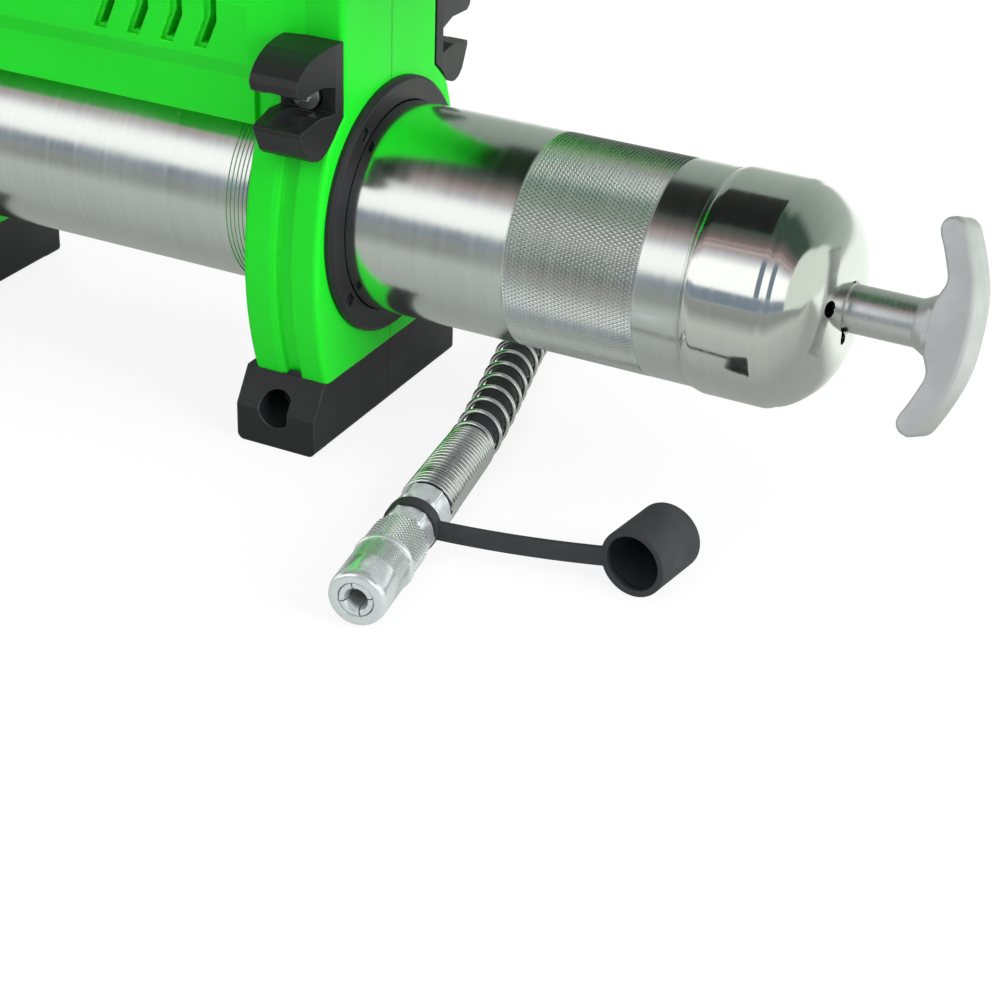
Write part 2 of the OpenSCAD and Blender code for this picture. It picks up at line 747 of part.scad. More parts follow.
// Cross-section of the motor beam: skirt, step, side panel and round top
module beam_outline() {
    low = axis_h + skirt_low;
    step = axis_h + step_low;
    intersection() {
        polygon([[-skirt_half, low], [-skirt_half, step], [-panel_half, step + step_h], [-panel_half, beam_z],
            [panel_half, beam_z], [panel_half, step + step_h], [skirt_half, step], [skirt_half, low]]);
        translate([0, beam_z - beam_round]) union() {
            circle(beam_round, $fn = 96);
            translate([-40, -80]) square([80, 80]);
        }
    }
}

grip_slope = atan((grip_rear_h - grip_front_h) / (-2 - beam_front - 16));
grip_rear_x = -2;
grip_front_x = beam_front + 16;
post_t = 30;
platform_t = 14;
platform_rear = 14 + pack_len;
platform_top = axis_h + grip_rear_h + 18;
column_top = platform_top;
rail_half = 31;
rail_drop = 7;

grip_len = norm([grip_rear_x - grip_front_x, grip_rear_h - grip_front_h]);
grip_round = 11;

// A length of the sloping grip, measured along its slope from above the middle of the front post
module grip_run(from, to) {
    translate([grip_front_x, 0, axis_h + grip_front_h]) rotate([0, -grip_slope, 0]) translate([from, 0, 0])
        rotate([90, 0, 90]) linear_extrude(to - from) round_rect(2 * handle_half, grip_t, grip_round);
}

// A length of the front post between two heights
module post_run(low, high) {
    translate([beam_front + post_t / 2, 0, low]) linear_extrude(high - low)
        round_rect(post_t, 2 * handle_half, grip_round);
}

// Handle: front post and sloping grip, both with rounded sections, mitred where they meet
module handle_loop() {
    under = axis_h + grip_front_h - grip_t / 2;
    post_run(axis_h + beam_top - 12, under - 4);
    intersection() {
        post_run(under - 4, axis_h + grip_front_h + grip_t);
        union() {
            grip_run(-40, 40);
            translate([beam_front - 1, -handle_half - 1, under - 5]) cube([post_t + 2, 2 * handle_half + 2, 8]);
        }
    }
    intersection() {
        grip_run(-10, grip_len + 6);
        translate([beam_front + post_t - 12, -60, under - 20]) cube([400, 120, 200]);
    }
}

// Rear column, from the collar to the battery platform, with its upper corners rounded
module column() {
    low = axis_h + 20;
    high = column_top - 1 - low;
    intersection() {
        translate([(column_front + collar_rear) / 2, 0, low]) linear_extrude(high)
            round_rect(collar_rear - column_front, 2 * column_half, 1.6);
        along_x(column_front - 1, collar_rear + 1) translate([0, low + high / 2 - 10])
            round_rect(2 * column_half + 1, high + 20, 6);
    }
}

// A slot with a slanted foot and an upright part, drawn from its lower front corner
module vent_slot(w) {
    polygon([[0, 0], [w, 0], [w + vent_lean, vent_foot], [w + vent_lean, vent_foot + vent_rise],
        [vent_lean, vent_foot + vent_rise], [vent_lean, vent_foot]]);
}

// The beam's side panels narrow to the column behind them
tail_len = 15;

module beam_tail() {
    intersection() {
        along_x(column_front, column_front + tail_len) beam_outline();
        translate([0, 0, axis_h + step_low]) linear_extrude(beam_top) polygon([
            [column_front - 1, panel_half + 1], [column_front, panel_half],
            [column_front + tail_len, column_half], [column_front + tail_len, -column_half],
            [column_front, -panel_half], [column_front - 1, -panel_half - 1]]);
    }
}

vent_x = -61;
vent_z = axis_h + step_low + step_h + 2;
trigger_w = 16;
trigger_len = 32;
trigger_x = beam_front + 46;
trigger_h = axis_h + grip_front_h + (trigger_x - grip_front_x) * tan(grip_slope);
trigger_travel = 5;
lock_x = trigger_x + 30;
lock_d = 9;
lock_h = axis_h + grip_front_h + (lock_x - grip_front_x) * tan(grip_slope) + 2;
screw_d = 7;
screw_depth = 4;
screw_spots = [[-100, axis_h + 33], [-30, axis_h + 33], [2, axis_h + 90], [beam_front + post_t / 2, axis_h + 84],
    [-60, axis_h + 127], [2, axis_h + 62]];

// Half width of the housing where each case screw sits
function screw_half(p) = p[1] > axis_h + 76 ? handle_half + (p[0] > -14 ? column_half - handle_half : 0)
    : p[0] > -14 ? column_half : skirt_half;

module housing_shell() {
    difference() {
        union() {
            rear_collar();
            collar_ring(front_collar_front, front_collar_rear, 0, collar_edge, collar_edge);
            along_x(beam_front, column_front) beam_outline();
            along_x(front_collar_front, front_collar_rear) translate([-column_half, axis_h + 10])
                square([2 * column_half, 40]);
            beam_tail();
            column();
            handle_loop();
            platform();
        }
        round_x(collar_front - 1, collar_rear + 1, barrel_r + run_gap + ring_sleeve_t + fit_gap);
        round_x(front_collar_front - 1, front_collar_rear + head_lip + fit_gap, head_r + fit_gap);
        round_x(front_collar_rear, collar_front, barrel_r + 1);
        round_x(motor_rear - motor_len - 30, motor_rear + 6, cavity_r, motor_z);
        for (s = [-1, 1], i = [0 : vent_count - 1]) vent_cut(s, vent_x + i * vent_pitch);
        trigger_pocket();
        translate([lock_x, -50, lock_h]) rotate([-90, 0, 0]) cylinder(h = 100, d = lock_d + 0.6, $fn = 48);
        for (p = screw_spots) translate([p[0], screw_half(p) + 1, p[1]]) rotate([90, 0, 0])
            cylinder(h = screw_depth + 1, d = screw_d + 0.4, $fn = 32);
        along_y(-cover_half, cover_half) cover_outline();
        lamp_seat();
    }
}

// Wide head of the handle that the battery slides under, with a rail along each side
module platform() {
    x0 = collar_rear - 6;
    x1 = platform_rear - 6;
    low = column_top - platform_t;
    along_x(x0, x1) translate([0, column_top - platform_t / 2])
        round_rect(2 * rail_half, platform_t, 4);
    for (s = [0, 1]) mirror([0, s, 0]) along_x(collar_rear - 1, x1 - 4) polygon([
        [rail_half - 3, low + 2], [rail_half, low + 2], [rail_half, low - rail_drop], [rail_half - 6, low - rail_drop],
        [rail_half - 6, low - rail_drop + 3], [rail_half - 3, low - rail_drop + 3]]);
}

module vent_cut(side, x) {
    depth = panel_half - cavity_r + 8;
    mirror([0, side < 0 ? 1 : 0, 0]) translate([x, 0, vent_z]) {
        along_y(panel_half - depth, panel_half + 1) translate([1.2, 0.8]) vent_slot(vent_w);
        along_y(panel_half - 1.6, panel_half + 1) vent_slot(vent_w + 1.4);
    }
}

module trigger_pocket() {
    translate([trigger_x, 0, trigger_h]) rotate([0, -grip_slope, 0])
        translate([-trigger_len / 2 - 0.4, -trigger_w / 2 - 0.4, -grip_t / 2 - 4])
            cube([trigger_len + 0.8, trigger_w + 0.8, 21]);
}

cover_half = 8;

// Soft cover let into the top of the grip, seen from the side
module cover_outline() {
    translate([grip_front_x, axis_h + grip_front_h]) rotate(grip_slope)
        translate([8, grip_t / 2 - 2]) square([grip_len - 34, 3]);
}

module lamp_seat() {
    translate([beam_front - 1, -8, beam_z - 14]) cube([3.2, 16, 7]);
}

module housing_left() {
    color(green) half(-1) housing_shell();
}

module housing_right() {
    color(green) half(1) housing_shell();
}

module housing_screws() {
    color(black) for (p = screw_spots) translate([p[0], screw_half(p) - 0.6, p[1]]) rotate([90, 0, 0])
        difference() {
            cylinder(h = screw_depth - 0.6, d = screw_d, $fn = 32);
            translate([0, 0, -1]) cylinder(h = 3, d = 3.6, $fn = 6);
        }
}

module bezel_ring() {
    bore = barrel_r + run_gap;
    chamfer = 1;
    x1 = collar_rear + ring_t;
    color(black) difference() {
        turned([[collar_rear, bore], [x1, bore], [x1, ring_d / 2 - chamfer], [x1 - chamfer, ring_d / 2],
            [collar_rear, ring_d / 2], [collar_rear, bore + ring_sleeve_t],
            [collar_front + 4, bore + ring_sleeve_t], [collar_front + 4, bore]], 128);
        for (i = [0 : 3]) translate([x1 - 1.2, 0, axis_h]) rotate([35 + 90 * i, 0, 0])
            translate([0, bore + 1, -1.8]) cube([2, 2.9, 3.6]);
    }
}

// Foot outline from behind: bevelled ends, pads at both ends and in the middle
module foot_outline() {
    w = foot_w / 2;
    pads = [[-w, 0], [-w + foot_pad, 0], [-w + foot_pad + 1, foot_relief], [-foot_pad - 1, foot_relief],
        [-foot_pad, 0], [foot_pad, 0], [foot_pad + 1, foot_relief], [w - foot_pad - 1, foot_relief],
        [w - foot_pad, 0], [w, 0]];
    polygon(concat(pads, [[w, foot_end_h], [w - foot_bevel, foot_h], [foot_bevel - w, foot_h],
        [-w, foot_end_h]]));
}

// Distance of the flat side of a foot's hole from the hole's middle
foot_hole_flat = 3.9;

module foot(x) {
    difference() {
        intersection() {
            along_x(x - foot_len / 2, x + foot_len / 2) foot_outline();
            along_y(-foot_w, foot_w) translate([x, foot_h / 2 + 2]) round_rect(foot_len, foot_h + 4, 2);
        }
        for (s = [-1, 1]) translate([x - 0.3, s * (foot_w / 2 + 1), foot_end_h + 0.4]) rotate([s * 90, 0, 0])
            intersection() {
                cylinder(h = 14, d = foot_hole_d, $fn = 48);
                translate([-foot_hole_d, -foot_hole_d, -1]) cube([foot_hole_d + foot_hole_flat, 2 * foot_hole_d, 16]);
            }
    }
}

// Small key of the rear foot that stands in the collar's groove
module foot_key() {
    key_t = 0.6;
    for (s = [0, 1]) mirror([0, s, 0])
        translate([groove_front + 0.3, foot_w / 2 - foot_bevel - key_t / 2, foot_h - 2.5])
            cube([collar_groove_w - 0.6, key_t, 4]);
}

module rear_foot_left() {
    color(black) half(-1) union() {
        foot(0);
        foot_key();
    }
}

module rear_foot_right() {
    color(black) half(1) union() {
        foot(0);
        foot_key();
    }
}

module front_foot_left() {
    color(black) half(-1) foot(-front_foot_x);
}

module front_foot_right() {
    color(black) half(1) foot(-front_foot_x);
}

// Hose clip outline on the right side, drawn from the column's face outwards
module clip_outline() {
    lip_top = clip_mid + clip_mouth / 2;
    lip_low = clip_mid - clip_mouth / 2;
    back = clip_base;
    polygon([[0, lip_low - 2.4], [8, lip_low - 9], [10, lip_low - 10], [12, lip_low - 10.2], [14.4, lip_low - 9.6],
        [16.5, lip_low - 8], [19.6, lip_low - 2.2], [19.6, lip_low - 1], [18.6, lip_low - 0.5],
        [10.4, lip_low + 0.8], [back, lip_low], [back, lip_top - 1],
        [9.5, lip_top + 0.6], [18.9, lip_top], [20.6, lip_top + 1], [21.4, lip_top + 3.4], [20.4, lip_top + 5.2],
        [17.8, lip_top + 7.3], [15, lip_top + 8.6], [11.4, lip_top + 9.6], [7, lip_top + 10], [0, lip_top + 10]]);
}

// How much the clip's arms narrow towards their noses, on the rear side; twice as much in front
clip_draft = 1.1;

module clip_body() {
    translate([0, column_half, axis_h]) difference() {
        intersection() {
            along_x(collar_rear - clip_len, collar_rear) clip_outline();
            linear_extrude(2 * clip_mid) polygon([[collar_rear - clip_len, -1], [collar_rear, -1],
                [collar_rear, clip_base], [collar_rear - clip_draft, 24], [collar_rear - clip_len + 2 * clip_draft, 24],
                [collar_rear - clip_len, clip_base]]);
        }
        round_x(collar_rear - clip_len - 1, collar_rear + 1, collar_r + fit_gap, 0, -column_half, 192);
        translate([0, 0, clip_mid - clip_len]) linear_extrude(2 * clip_len) polygon([[column_front, -1],
            [column_front, panel_half - column_half + fit_gap], [column_front + tail_len, fit_gap],
            [column_front + tail_len, -1]]);
        translate([collar_rear - clip_len / 2, clip_base - 1.2, clip_mid]) rotate([-90, 0, 0])
            cylinder(h = 3, d = 8.6, $fn = 32);
        translate([collar_rear - clip_len / 2, clip_base + 2, clip_mid]) rotate([-90, 0, 0])
            cylinder(h = 22, d = 10, $fn = 32);
    }
}

module clip_left() {
    color(black) mirror([0, 1, 0]) clip_body();
}

module clip_right() {
    color(black) clip_body();
}

module clip_screws() {
    color(steel) for (s = [-1, 1]) translate([collar_rear - clip_len / 2, s * (column_half + clip_base - 1.2), axis_h + clip_mid])
        rotate([-s * 90, 0, 0]) difference() {
            cylinder(h = 2.6, d = 8, $fn = 32);
            translate([0, 0, 1.2]) cylinder(h = 2, d = 3.4, $fn = 6);
        }
}

module motor() {
    color(steel) {
        round_x(motor_rear - motor_len, motor_rear, motor_r, motor_z);
        round_x(motor_rear, motor_rear + 5.9, 7, motor_z, fn = 48);
    }
}

module gearbox() {
    color(cast) round_x(motor_rear - motor_len - 29, motor_rear - motor_len, motor_r - 0.4, motor_z);
}

module grip_cover() {
    color(rubber) translate([grip_front_x, -cover_half + fit_gap, axis_h + grip_front_h]) rotate([0, -grip_slope, 0])
        translate([8 + fit_gap, 0, grip_t / 2 - 2]) cube([grip_len - 34 - 2 * fit_gap, 2 * (cover_half - fit_gap), 2.6]);
}

module trigger() {
    color(black) translate([trigger_x, 0, trigger_h]) rotate([0, -grip_slope, 0]) difference() {
        translate([0, trigger_w / 2, -grip_t / 2 - 7.5]) rotate([90, 0, 0]) linear_extrude(trigger_w)
            translate([-trigger_len / 2, 0]) difference() {
                square([trigger_len, 17]);
                translate([trigger_len / 2, -38]) circle(41, $fn = 96);
            }
    }
}

module lock_button() {
    color(black) translate([lock_x, -handle_half - 3, lock_h]) rotate([-90, 0, 0])
        cylinder(h = 2 * handle_half + 6, d = lock_d, $fn = 48);
}

pack_front = collar_rear + 1.4;
pack_rear = pack_front + pack_len - 2.4;
pack_top = column_top - platform_t - run_gap;
shelf = pack_top - rail_drop - run_gap;
latch_w = 17.2;
rib_pitch = 7;

// Slide-on battery: a wide case below the rails and a narrow neck between them
module battery_pack() {
    case_h = pack_h - (pack_top - shelf);
    neck_half = rail_half - 6 - run_gap;
    head_half = rail_half - 3 - run_gap;
    color(black) difference() {
        union() {
            along_x(pack_front + 3, pack_rear) translate([0, shelf - case_h / 2]) round_rect(pack_w, case_h, 7);
            along_x(pack_front, pack_rear - 2) translate([-neck_half, shelf - 10])
                square([2 * neck_half, pack_top - shelf + 10]);
            along_x(pack_front, pack_rear - 2) translate([-head_half, shelf + 3 + 2 * run_gap])
                square([2 * head_half, pack_top - shelf - 3 - 2 * run_gap]);
        }
        translate([pack_rear - 12, -latch_w / 2 - 0.4, pack_top - 12]) cube([20, latch_w + 0.8, 20]);
        for (s = [-1, 1], i = [0 : 2])
            translate([pack_front + 16, s * pack_w / 2, shelf - 12 - i * rib_pitch]) rotate([0, 90, 0])
                cylinder(h = pack_len - 34, d = 3, $fn = 24);
    }
}

module battery_latch() {
    color(green) translate([pack_rear - 9, -latch_w / 2, pack_top - 11.6]) difference() {
        cube([10.4, latch_w, 10]);
        for (i = [0 : 2]) translate([9.8, -1, 2 + i * 2.4]) cube([2, latch_w + 2, 1.2]);
    }
}

module lamp_lens() {
    color([0.9, 0.95, 1]) translate([beam_front - 0.6, -7.8, beam_z - 13.8]) cube([2.6, 15.6, 6.6]);
}

barrel_tube();
end_cap();
follower_rod();
t_handle();
follower_plate_disc();
follower_rubber();
follower_spring();
barrel_gasket();
pump_head();
plunger_plug();
air_bleeder();
relief_valve();
loader_fitting();
outlet_fitting();
head_bolts();
hose_ferrule();
hose();
hose_guard();
hose_nut();
coupler_sleeve();
coupler_body();
coupler_jaws();
dust_cap();
housing_left();
housing_right();
bezel_ring();
rear_foot_left();
rear_foot_right();
front_foot_left();
front_foot_right();
clip_left();
clip_right();
clip_screws();
housing_screws();
motor();
gearbox();
grip_cover();
trigger();
lock_button();
battery_pack();
battery_latch();
lamp_lens();
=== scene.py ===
"""Looks for the cordless grease gun: camera, hose, fine pieces, materials, light and floor."""

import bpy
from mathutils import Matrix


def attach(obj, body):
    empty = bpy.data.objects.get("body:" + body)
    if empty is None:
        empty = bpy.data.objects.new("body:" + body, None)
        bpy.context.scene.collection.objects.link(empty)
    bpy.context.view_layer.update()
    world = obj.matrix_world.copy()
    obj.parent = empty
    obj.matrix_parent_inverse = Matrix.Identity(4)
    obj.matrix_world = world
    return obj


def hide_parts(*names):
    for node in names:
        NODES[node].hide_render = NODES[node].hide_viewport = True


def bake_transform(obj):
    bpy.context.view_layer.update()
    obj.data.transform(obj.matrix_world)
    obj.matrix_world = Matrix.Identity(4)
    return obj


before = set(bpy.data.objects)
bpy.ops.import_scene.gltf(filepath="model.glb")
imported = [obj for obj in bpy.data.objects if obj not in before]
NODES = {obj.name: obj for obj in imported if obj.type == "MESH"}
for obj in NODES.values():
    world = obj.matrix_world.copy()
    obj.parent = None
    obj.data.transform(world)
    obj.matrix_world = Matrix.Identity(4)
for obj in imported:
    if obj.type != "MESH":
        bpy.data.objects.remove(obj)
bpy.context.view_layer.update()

import math

import bmesh
import bpy
from mathutils import Matrix, Vector

MM = 0.001
AXIS_H = 60.3 * MM  # height of the barrel's axis above the floor

# Camera, as solved from the photograph

AZIMUTH, ELEVATION, ROLL = math.radians(26.191), math.radians(29.280), math.radians(1.981)
CAMERA_AT = (0.3011, -0.5125, 0.2987)
SENSOR_WIDTH, FOCAL_LENGTH = 36, 83.707
back = Vector((math.sin(AZIMUTH) * math.cos(ELEVATION), -math.cos(AZIMUTH) * math.cos(ELEVATION),
               math.sin(ELEVATION)))
level_right = Vector((math.cos(AZIMUTH), math.sin(AZIMUTH), 0))
level_up = back.cross(level_right)
right = math.cos(ROLL) * level_right + math.sin(ROLL) * level_up
up = math.cos(ROLL) * level_up - math.sin(ROLL) * level_right
camera_data = bpy.data.cameras.new("photo_camera")
camera_data.sensor_width = SENSOR_WIDTH
camera_data.lens = FOCAL_LENGTH
camera_data.clip_start = 0.01
camera = bpy.data.objects.new("photo_camera", camera_data)
camera.matrix_world = Matrix.Translation(CAMERA_AT) @ Matrix((right, up, back)).transposed().to_4x4()
bpy.context.collection.objects.link(camera)
bpy.context.scene.camera = camera


# Helpers for pieces

def add_mesh(name, verts, faces, body, smooth=True):
    mesh = bpy.data.meshes.new(name)
    mesh.from_pydata([tuple(v) for v in verts], [], faces)
    mesh.validate()
    mesh.update()
    for polygon in mesh.polygons:
        polygon.use_smooth = smooth
    obj = bpy.data.objects.new(name, mesh)
    bpy.context.collection.objects.link(obj)
    if body:
        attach(obj, body)
    return obj


def add_curve(name, points, radius, body, resolution=6):
    """A round wire or hose; its radius is on the points, because a curve's box counts theirs."""
    curve = bpy.data.curves.new(name, "CURVE")
    curve.dimensions = "3D"
    curve.bevel_depth = 1
    curve.bevel_resolution = resolution
    curve.use_fill_caps = True
    spline = curve.splines.new("POLY")
    spline.points.add(len(points) - 1)
    for point, place in zip(spline.points, points):
        point.co = (place[0], place[1], place[2], 1)
        point.radius = radius
    spline.use_smooth = True
    obj = bpy.data.objects.new(name, curve)
    bpy.context.collection.objects.link(obj)
    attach(obj, body)
    return obj


def band(a, b, count):
    """Faces between two rings of the same count, whose first vertices are a and b."""
    return [(a + j, a + (j + 1) % count, b + (j + 1) % count, b + j) for j in range(count)]


def tube(first, rings, count):
    """Faces of a closed tube through neighbouring rings, with a face over each end."""
    faces = []
    for i in range(rings - 1):
        faces += band(first + i * count, first + (i + 1) * count, count)
    last = first + (rings - 1) * count
    return faces + [tuple(range(first, first + count))[::-1], tuple(range(last, last + count))]


def spline_point(p0, p1, p2, p3, t):
    """The place at t, from 0 to 1 between p1 and p2, on a smooth line through all four."""
    return 0.5 * (2 * p1 + (p2 - p0) * t + (2 * p0 - 5 * p1 + 4 * p2 - p3) * t * t
                  + (3 * p1 - p0 - 3 * p2 + p3) * t * t * t)


def sharpen(obj, degrees):
    """Smooth shading with the folds above an angle kept crisp."""
    obj.data.set_sharp_from_angle(angle=math.radians(degrees))


def mend_normals(obj):
    """Turns every face outwards."""
    mesh = bmesh.new()
    mesh.from_mesh(obj.data)
    bmesh.ops.recalc_face_normals(mesh, faces=mesh.faces)
    mesh.to_mesh(obj.data)
    mesh.free()


def apply_modifiers(obj):
    depsgraph = bpy.context.evaluated_depsgraph_get()
    mesh = bpy.data.meshes.new_from_object(obj.evaluated_get(depsgraph))
    old = obj.data
    obj.modifiers.clear()
    obj.data = mesh
    bpy.data.meshes.remove(old)
    for polygon in mesh.polygons:
        polygon.use_smooth = True


# Hose: the same route as in the part's source, in metres

HOSE_R = 5 * MM
ROUTE = [Vector(p) * MM for p in (
    (-206.5, 0, 82.3), (-224.5, 0, 82.3), (-250, 2, 84), (-274, 12, 78), (-290, 32, 62), (-292, 58, 42),
    (-280, 84, 24), (-258, 107, 11), (-228, 126, 6), (-190, 140, 5.4), (-145, 148, 5.4), (-100, 152, 5.4),
    (-56, 150, 5.4), (-16, 138, 6), (10, 116, 7), (24, 88, 7), (31, 62, 7), (36, 38, 7), (41, 19, 7),
    (45, 4, 7), (48.5, -10, 7), (51.5, -24, 7.2), (54, -38, 7.8), (56.4, -53, 8))]
NOSE = Vector((64.6, -106.3, 8)) * MM
NUT = Vector((56.6, -54, 8)) * MM
SPANS = [(b - a).length for a, b in zip(ROUTE, ROUTE[1:])]
PER_SPAN, LOOK_AHEAD = 10, 0.02


def on_route(u):
    """The place on the route, u counting its points."""
    last = len(ROUTE) - 1
    u = min(max(u, 0), last)
    i = min(int(u), last - 1)
    return spline_point(ROUTE[max(i - 1, 0)], ROUTE[i], ROUTE[i + 1], ROUTE[min(i + 2, last)], u - i)


def heading(u):
    last = len(ROUTE) - 1
    return (on_route(min(u + LOOK_AHEAD, last)) - on_route(max(u - LOOK_AHEAD, 0))).normalized()


def back_along(distance):
    """How many points in the place lies that is this far back from the route's end."""
    i = len(SPANS) - 1
    while distance > SPANS[i] and i > 0:
        distance -= SPANS[i]
        i -= 1
    return i + 1 - distance / SPANS[i]


NUT_AT, NUT_END, HOSE_END, GUARD_FRONT = 39.1, 46.9, 44, 48  # millimetres behind the nose
nose_axis = (NUT - NOSE).normalized()
nose_side = Vector((0, 0, 1)).cross(nose_axis)
ROUTE_END = (ROUTE[-1] - NOSE).dot(nose_axis)
hose_line = [on_route(i / PER_SPAN) for i in range((len(ROUTE) - 1) * PER_SPAN + 1)]
hose_line.append(NOSE + HOSE_END * MM * nose_axis)
hose = add_curve("rubber_hose", hose_line, HOSE_R, "gun", 8)

# Spring guard: one wire, close turns at the coupler and open turns along the hose

GUARD_WIRE = 1.4 * MM
GUARD_R = (13.6 * MM - GUARD_WIRE) / 2
CLOSE_TURNS, OPEN_TURNS = 21, 12
CLOSE_PITCH, OPEN_PITCH = 1.66 * MM, 7.8 * MM
GUARD_START = GUARD_FRONT * MM - ROUTE_END
FLARE = 0.6 * MM
TURN_STEPS = 28


def guard_point(turn):
    along = GUARD_START + CLOSE_PITCH * min(turn, CLOSE_TURNS) + OPEN_PITCH * max(turn - CLOSE_TURNS, 0)
    radius = GUARD_R + FLARE * max(1 - turn / CLOSE_TURNS, 0)
    u = back_along(max(along, 0))
    direction = heading(u)
    side = Vector((0, 0, 1)).cross(direction).normalized()
    above = direction.cross(side)
    angle = 2 * math.pi * turn
    middle = on_route(u) if along > 0 else NOSE + (ROUTE_END + along) * nose_axis
    return middle + radius * (math.cos(angle) * side + math.sin(angle) * above)


guard_line = [guard_point(i / TURN_STEPS) for i in range((CLOSE_TURNS + OPEN_TURNS) * TURN_STEPS + 1)]
guard = add_curve("guard_wire", guard_line, GUARD_WIRE / 2, "gun", 3)


# Turned pieces: a profile of (place along the axis, radius) in millimetres, swept round it

def ring_point(place, x, r, turn):
    return place @ Vector((x * MM, -r * MM * math.cos(turn), r * MM * math.sin(turn)))


def lathe(name, place, profile, body, sides=192, shape=None):
    """The profile's last point is its first; shape gives a radius from (place, radius, turn)."""
    rings = profile[:-1]
    verts, faces = [], []
    for x, r in rings:
        for j in range(sides):
            turn = 2 * math.pi * j / sides
            verts.append(ring_point(place, x, shape(x, r, turn) if shape else r, turn))
    for i in range(len(rings)):
        faces += band(i * sides, ((i + 1) % len(rings)) * sides, sides)
    obj = add_mesh(name, verts, faces, body)
    middle = place @ Vector((0, 0, 0))
    axis = (place.to_3x3() @ Vector((1, 0, 0))).normalized()
    far = max(obj.data.polygons, key=lambda face: (face.center - middle).cross(axis).length)
    outwards = (far.center - middle) - (far.center - middle).dot(axis) * axis
    if far.normal.dot(outwards) < 0:
        obj.data.flip_normals()
    sharpen(obj, 28)
    return obj


def eased(points, radius, steps=4):
    """A profile with its inner corners rounded."""
    out = [points[0]]
    for before, corner, after in zip(points, points[1:], points[2:]):
        a, b, c = Vector(before), Vector(corner), Vector(after)
        cut = min(radius, 0.45 * (a - b).length, 0.45 * (c - b).length)
        p, q = b + (a - b).normalized() * cut, b + (c - b).normalized() * cut
        for i in range(steps + 1):
            t = i / steps
            out.append(tuple(p * (1 - t) ** 2 + b * 2 * t * (1 - t) + q * t * t))
    return out + [points[-1]]


on_axis = Matrix.Translation((0, 0, AXIS_H))
KNURL = (61, 97.5)  # the band's ends along the barrel
KNURL_TURNS, KNURL_LONG, PAD_R, VALLEY_R = 150, 2.03, 28.56, 28.3
BARREL_FROM, BARREL_TO, BARREL_R, BORE_R = -146, 118, 28.5, 26.9
BARREL_SIDES = 256
GROOVE_FROM, GROOVE_PITCH, GROOVE_COUNT = -21.3, 1.26, 9
GROOVE_WIDTH, GROOVE_DEPTH, GROOVE_FLANK = 0.62, 0.26, 0.2

barrel_line = [(BARREL_FROM, BORE_R), (BARREL_FROM, 28.0), (BARREL_FROM + 0.5, BARREL_R)]
for groove in range(GROOVE_COUNT):
    start = GROOVE_FROM + GROOVE_PITCH * groove
    stop = start + GROOVE_WIDTH
    barrel_line += [(start, BARREL_R), (start + GROOVE_FLANK, BARREL_R - GROOVE_DEPTH),
                    (stop - GROOVE_FLANK, BARREL_R - GROOVE_DEPTH), (stop, BARREL_R)]
barrel_line += [(KNURL[0], BARREL_R), (KNURL[0] + 0.3, VALLEY_R - 0.05), (KNURL[1] - 0.3, VALLEY_R - 0.05),
                (KNURL[1], BARREL_R), (109.2, BARREL_R), (109.35, 28.62), (109.65, 28.62), (109.8, 28.4),
                (110.1, 28.2), (BARREL_TO, 28.2), (BARREL_TO, BORE_R), (BARREL_FROM, BORE_R)]
barrel = lathe("turned_barrel", on_axis, barrel_line, "barrel", BARREL_SIDES)


def knurl_pads(name, place, x0, x1, turns, pitch, pad_r, valley_r, body, slope=0.03):
    """Diamond pads between two families of crossing V grooves, on a grid of quarter pitches."""
    rows = round((x1 - x0) / pitch * 4)
    columns = turns * 4
    verts, faces = [], []
    for i in range(rows + 1):
        x = x0 + (x1 - x0) * i / rows
        for j in range(columns):
            groove = min(abs((i + j) % 4 - 2), abs((i - j) % 4 - 2))
            r = valley_r if groove == 0 or i in (0, rows) else pad_r - (slope if groove == 1 else 0)
            verts.append(ring_point(place, x, r, 2 * math.pi * j / columns))
    for i in range(rows):
        for j in range(columns):
            k = (j + 1) % columns
            a, b, c, d = i * columns + j, i * columns + k, (i + 1) * columns + k, (i + 1) * columns + j
            faces += [(a, c, b), (a, d, c)] if (i - j) % 2 == 0 else [(a, d, b), (b, d, c)]
    return add_mesh(name, verts, faces, body, smooth=False)


knurl_band = knurl_pads("barrel_knurl", on_axis, KNURL[0] + 0.1, KNURL[1] - 0.1, KNURL_TURNS, KNURL_LONG,
                        PAD_R, VALLEY_R, "barrel")

# End cap: pressed dome with a rolled lip, a drawn shoulder and two round holes beside the rod

HOLES = ((-14.4, 5.0, 2.15), (-4.2, -6.2, 2.1))  # across, up and radius, seen from the front
HOLES_AT, HOLE_DEPTH, HOLE_SIDES = 144, 16, 40
CAP_WALL = 0.75
DOME_STEPS = 4
DOME = [(129.0, 29.4), (129.8, 29.15), (130.5, 28.82), (131.1, 28.56), (131.7, 28.38), (132.6, 28.1),
        (134.0, 27.4), (135.8, 26.2), (137.7, 24.6), (139.6, 22.7), (141.4, 20.2), (142.9, 17.3),
        (143.9, 14.3), (144.4, 11.6), (144.6, 9.0), (144.5, 7.6), (144.2, 6.8), (143.7, 6.5)]


def dome_line():
    """The drawn dome as a smooth line, and the same line set inwards by the wall."""
    line = []
    for i in range(1, len(DOME) - 2):
        near = [Vector(DOME[i + k]) for k in (-1, 0, 1, 2)]
        line += [spline_point(*near, j / DOME_STEPS) for j in range(DOME_STEPS)]
    line = [Vector(DOME[0])] + line + [Vector(DOME[-2]), Vector(DOME[-1])]
    inside = []
    for before, point, after in zip(line[2:-2:3], line[3:-1:3], line[4::3]):
        run = (after - before).normalized()
        inside.append(tuple(point - CAP_WALL * Vector((-run.y, run.x)) * (1 if -run.y > 0 else -1)))
    return [tuple(p) for p in line], inside


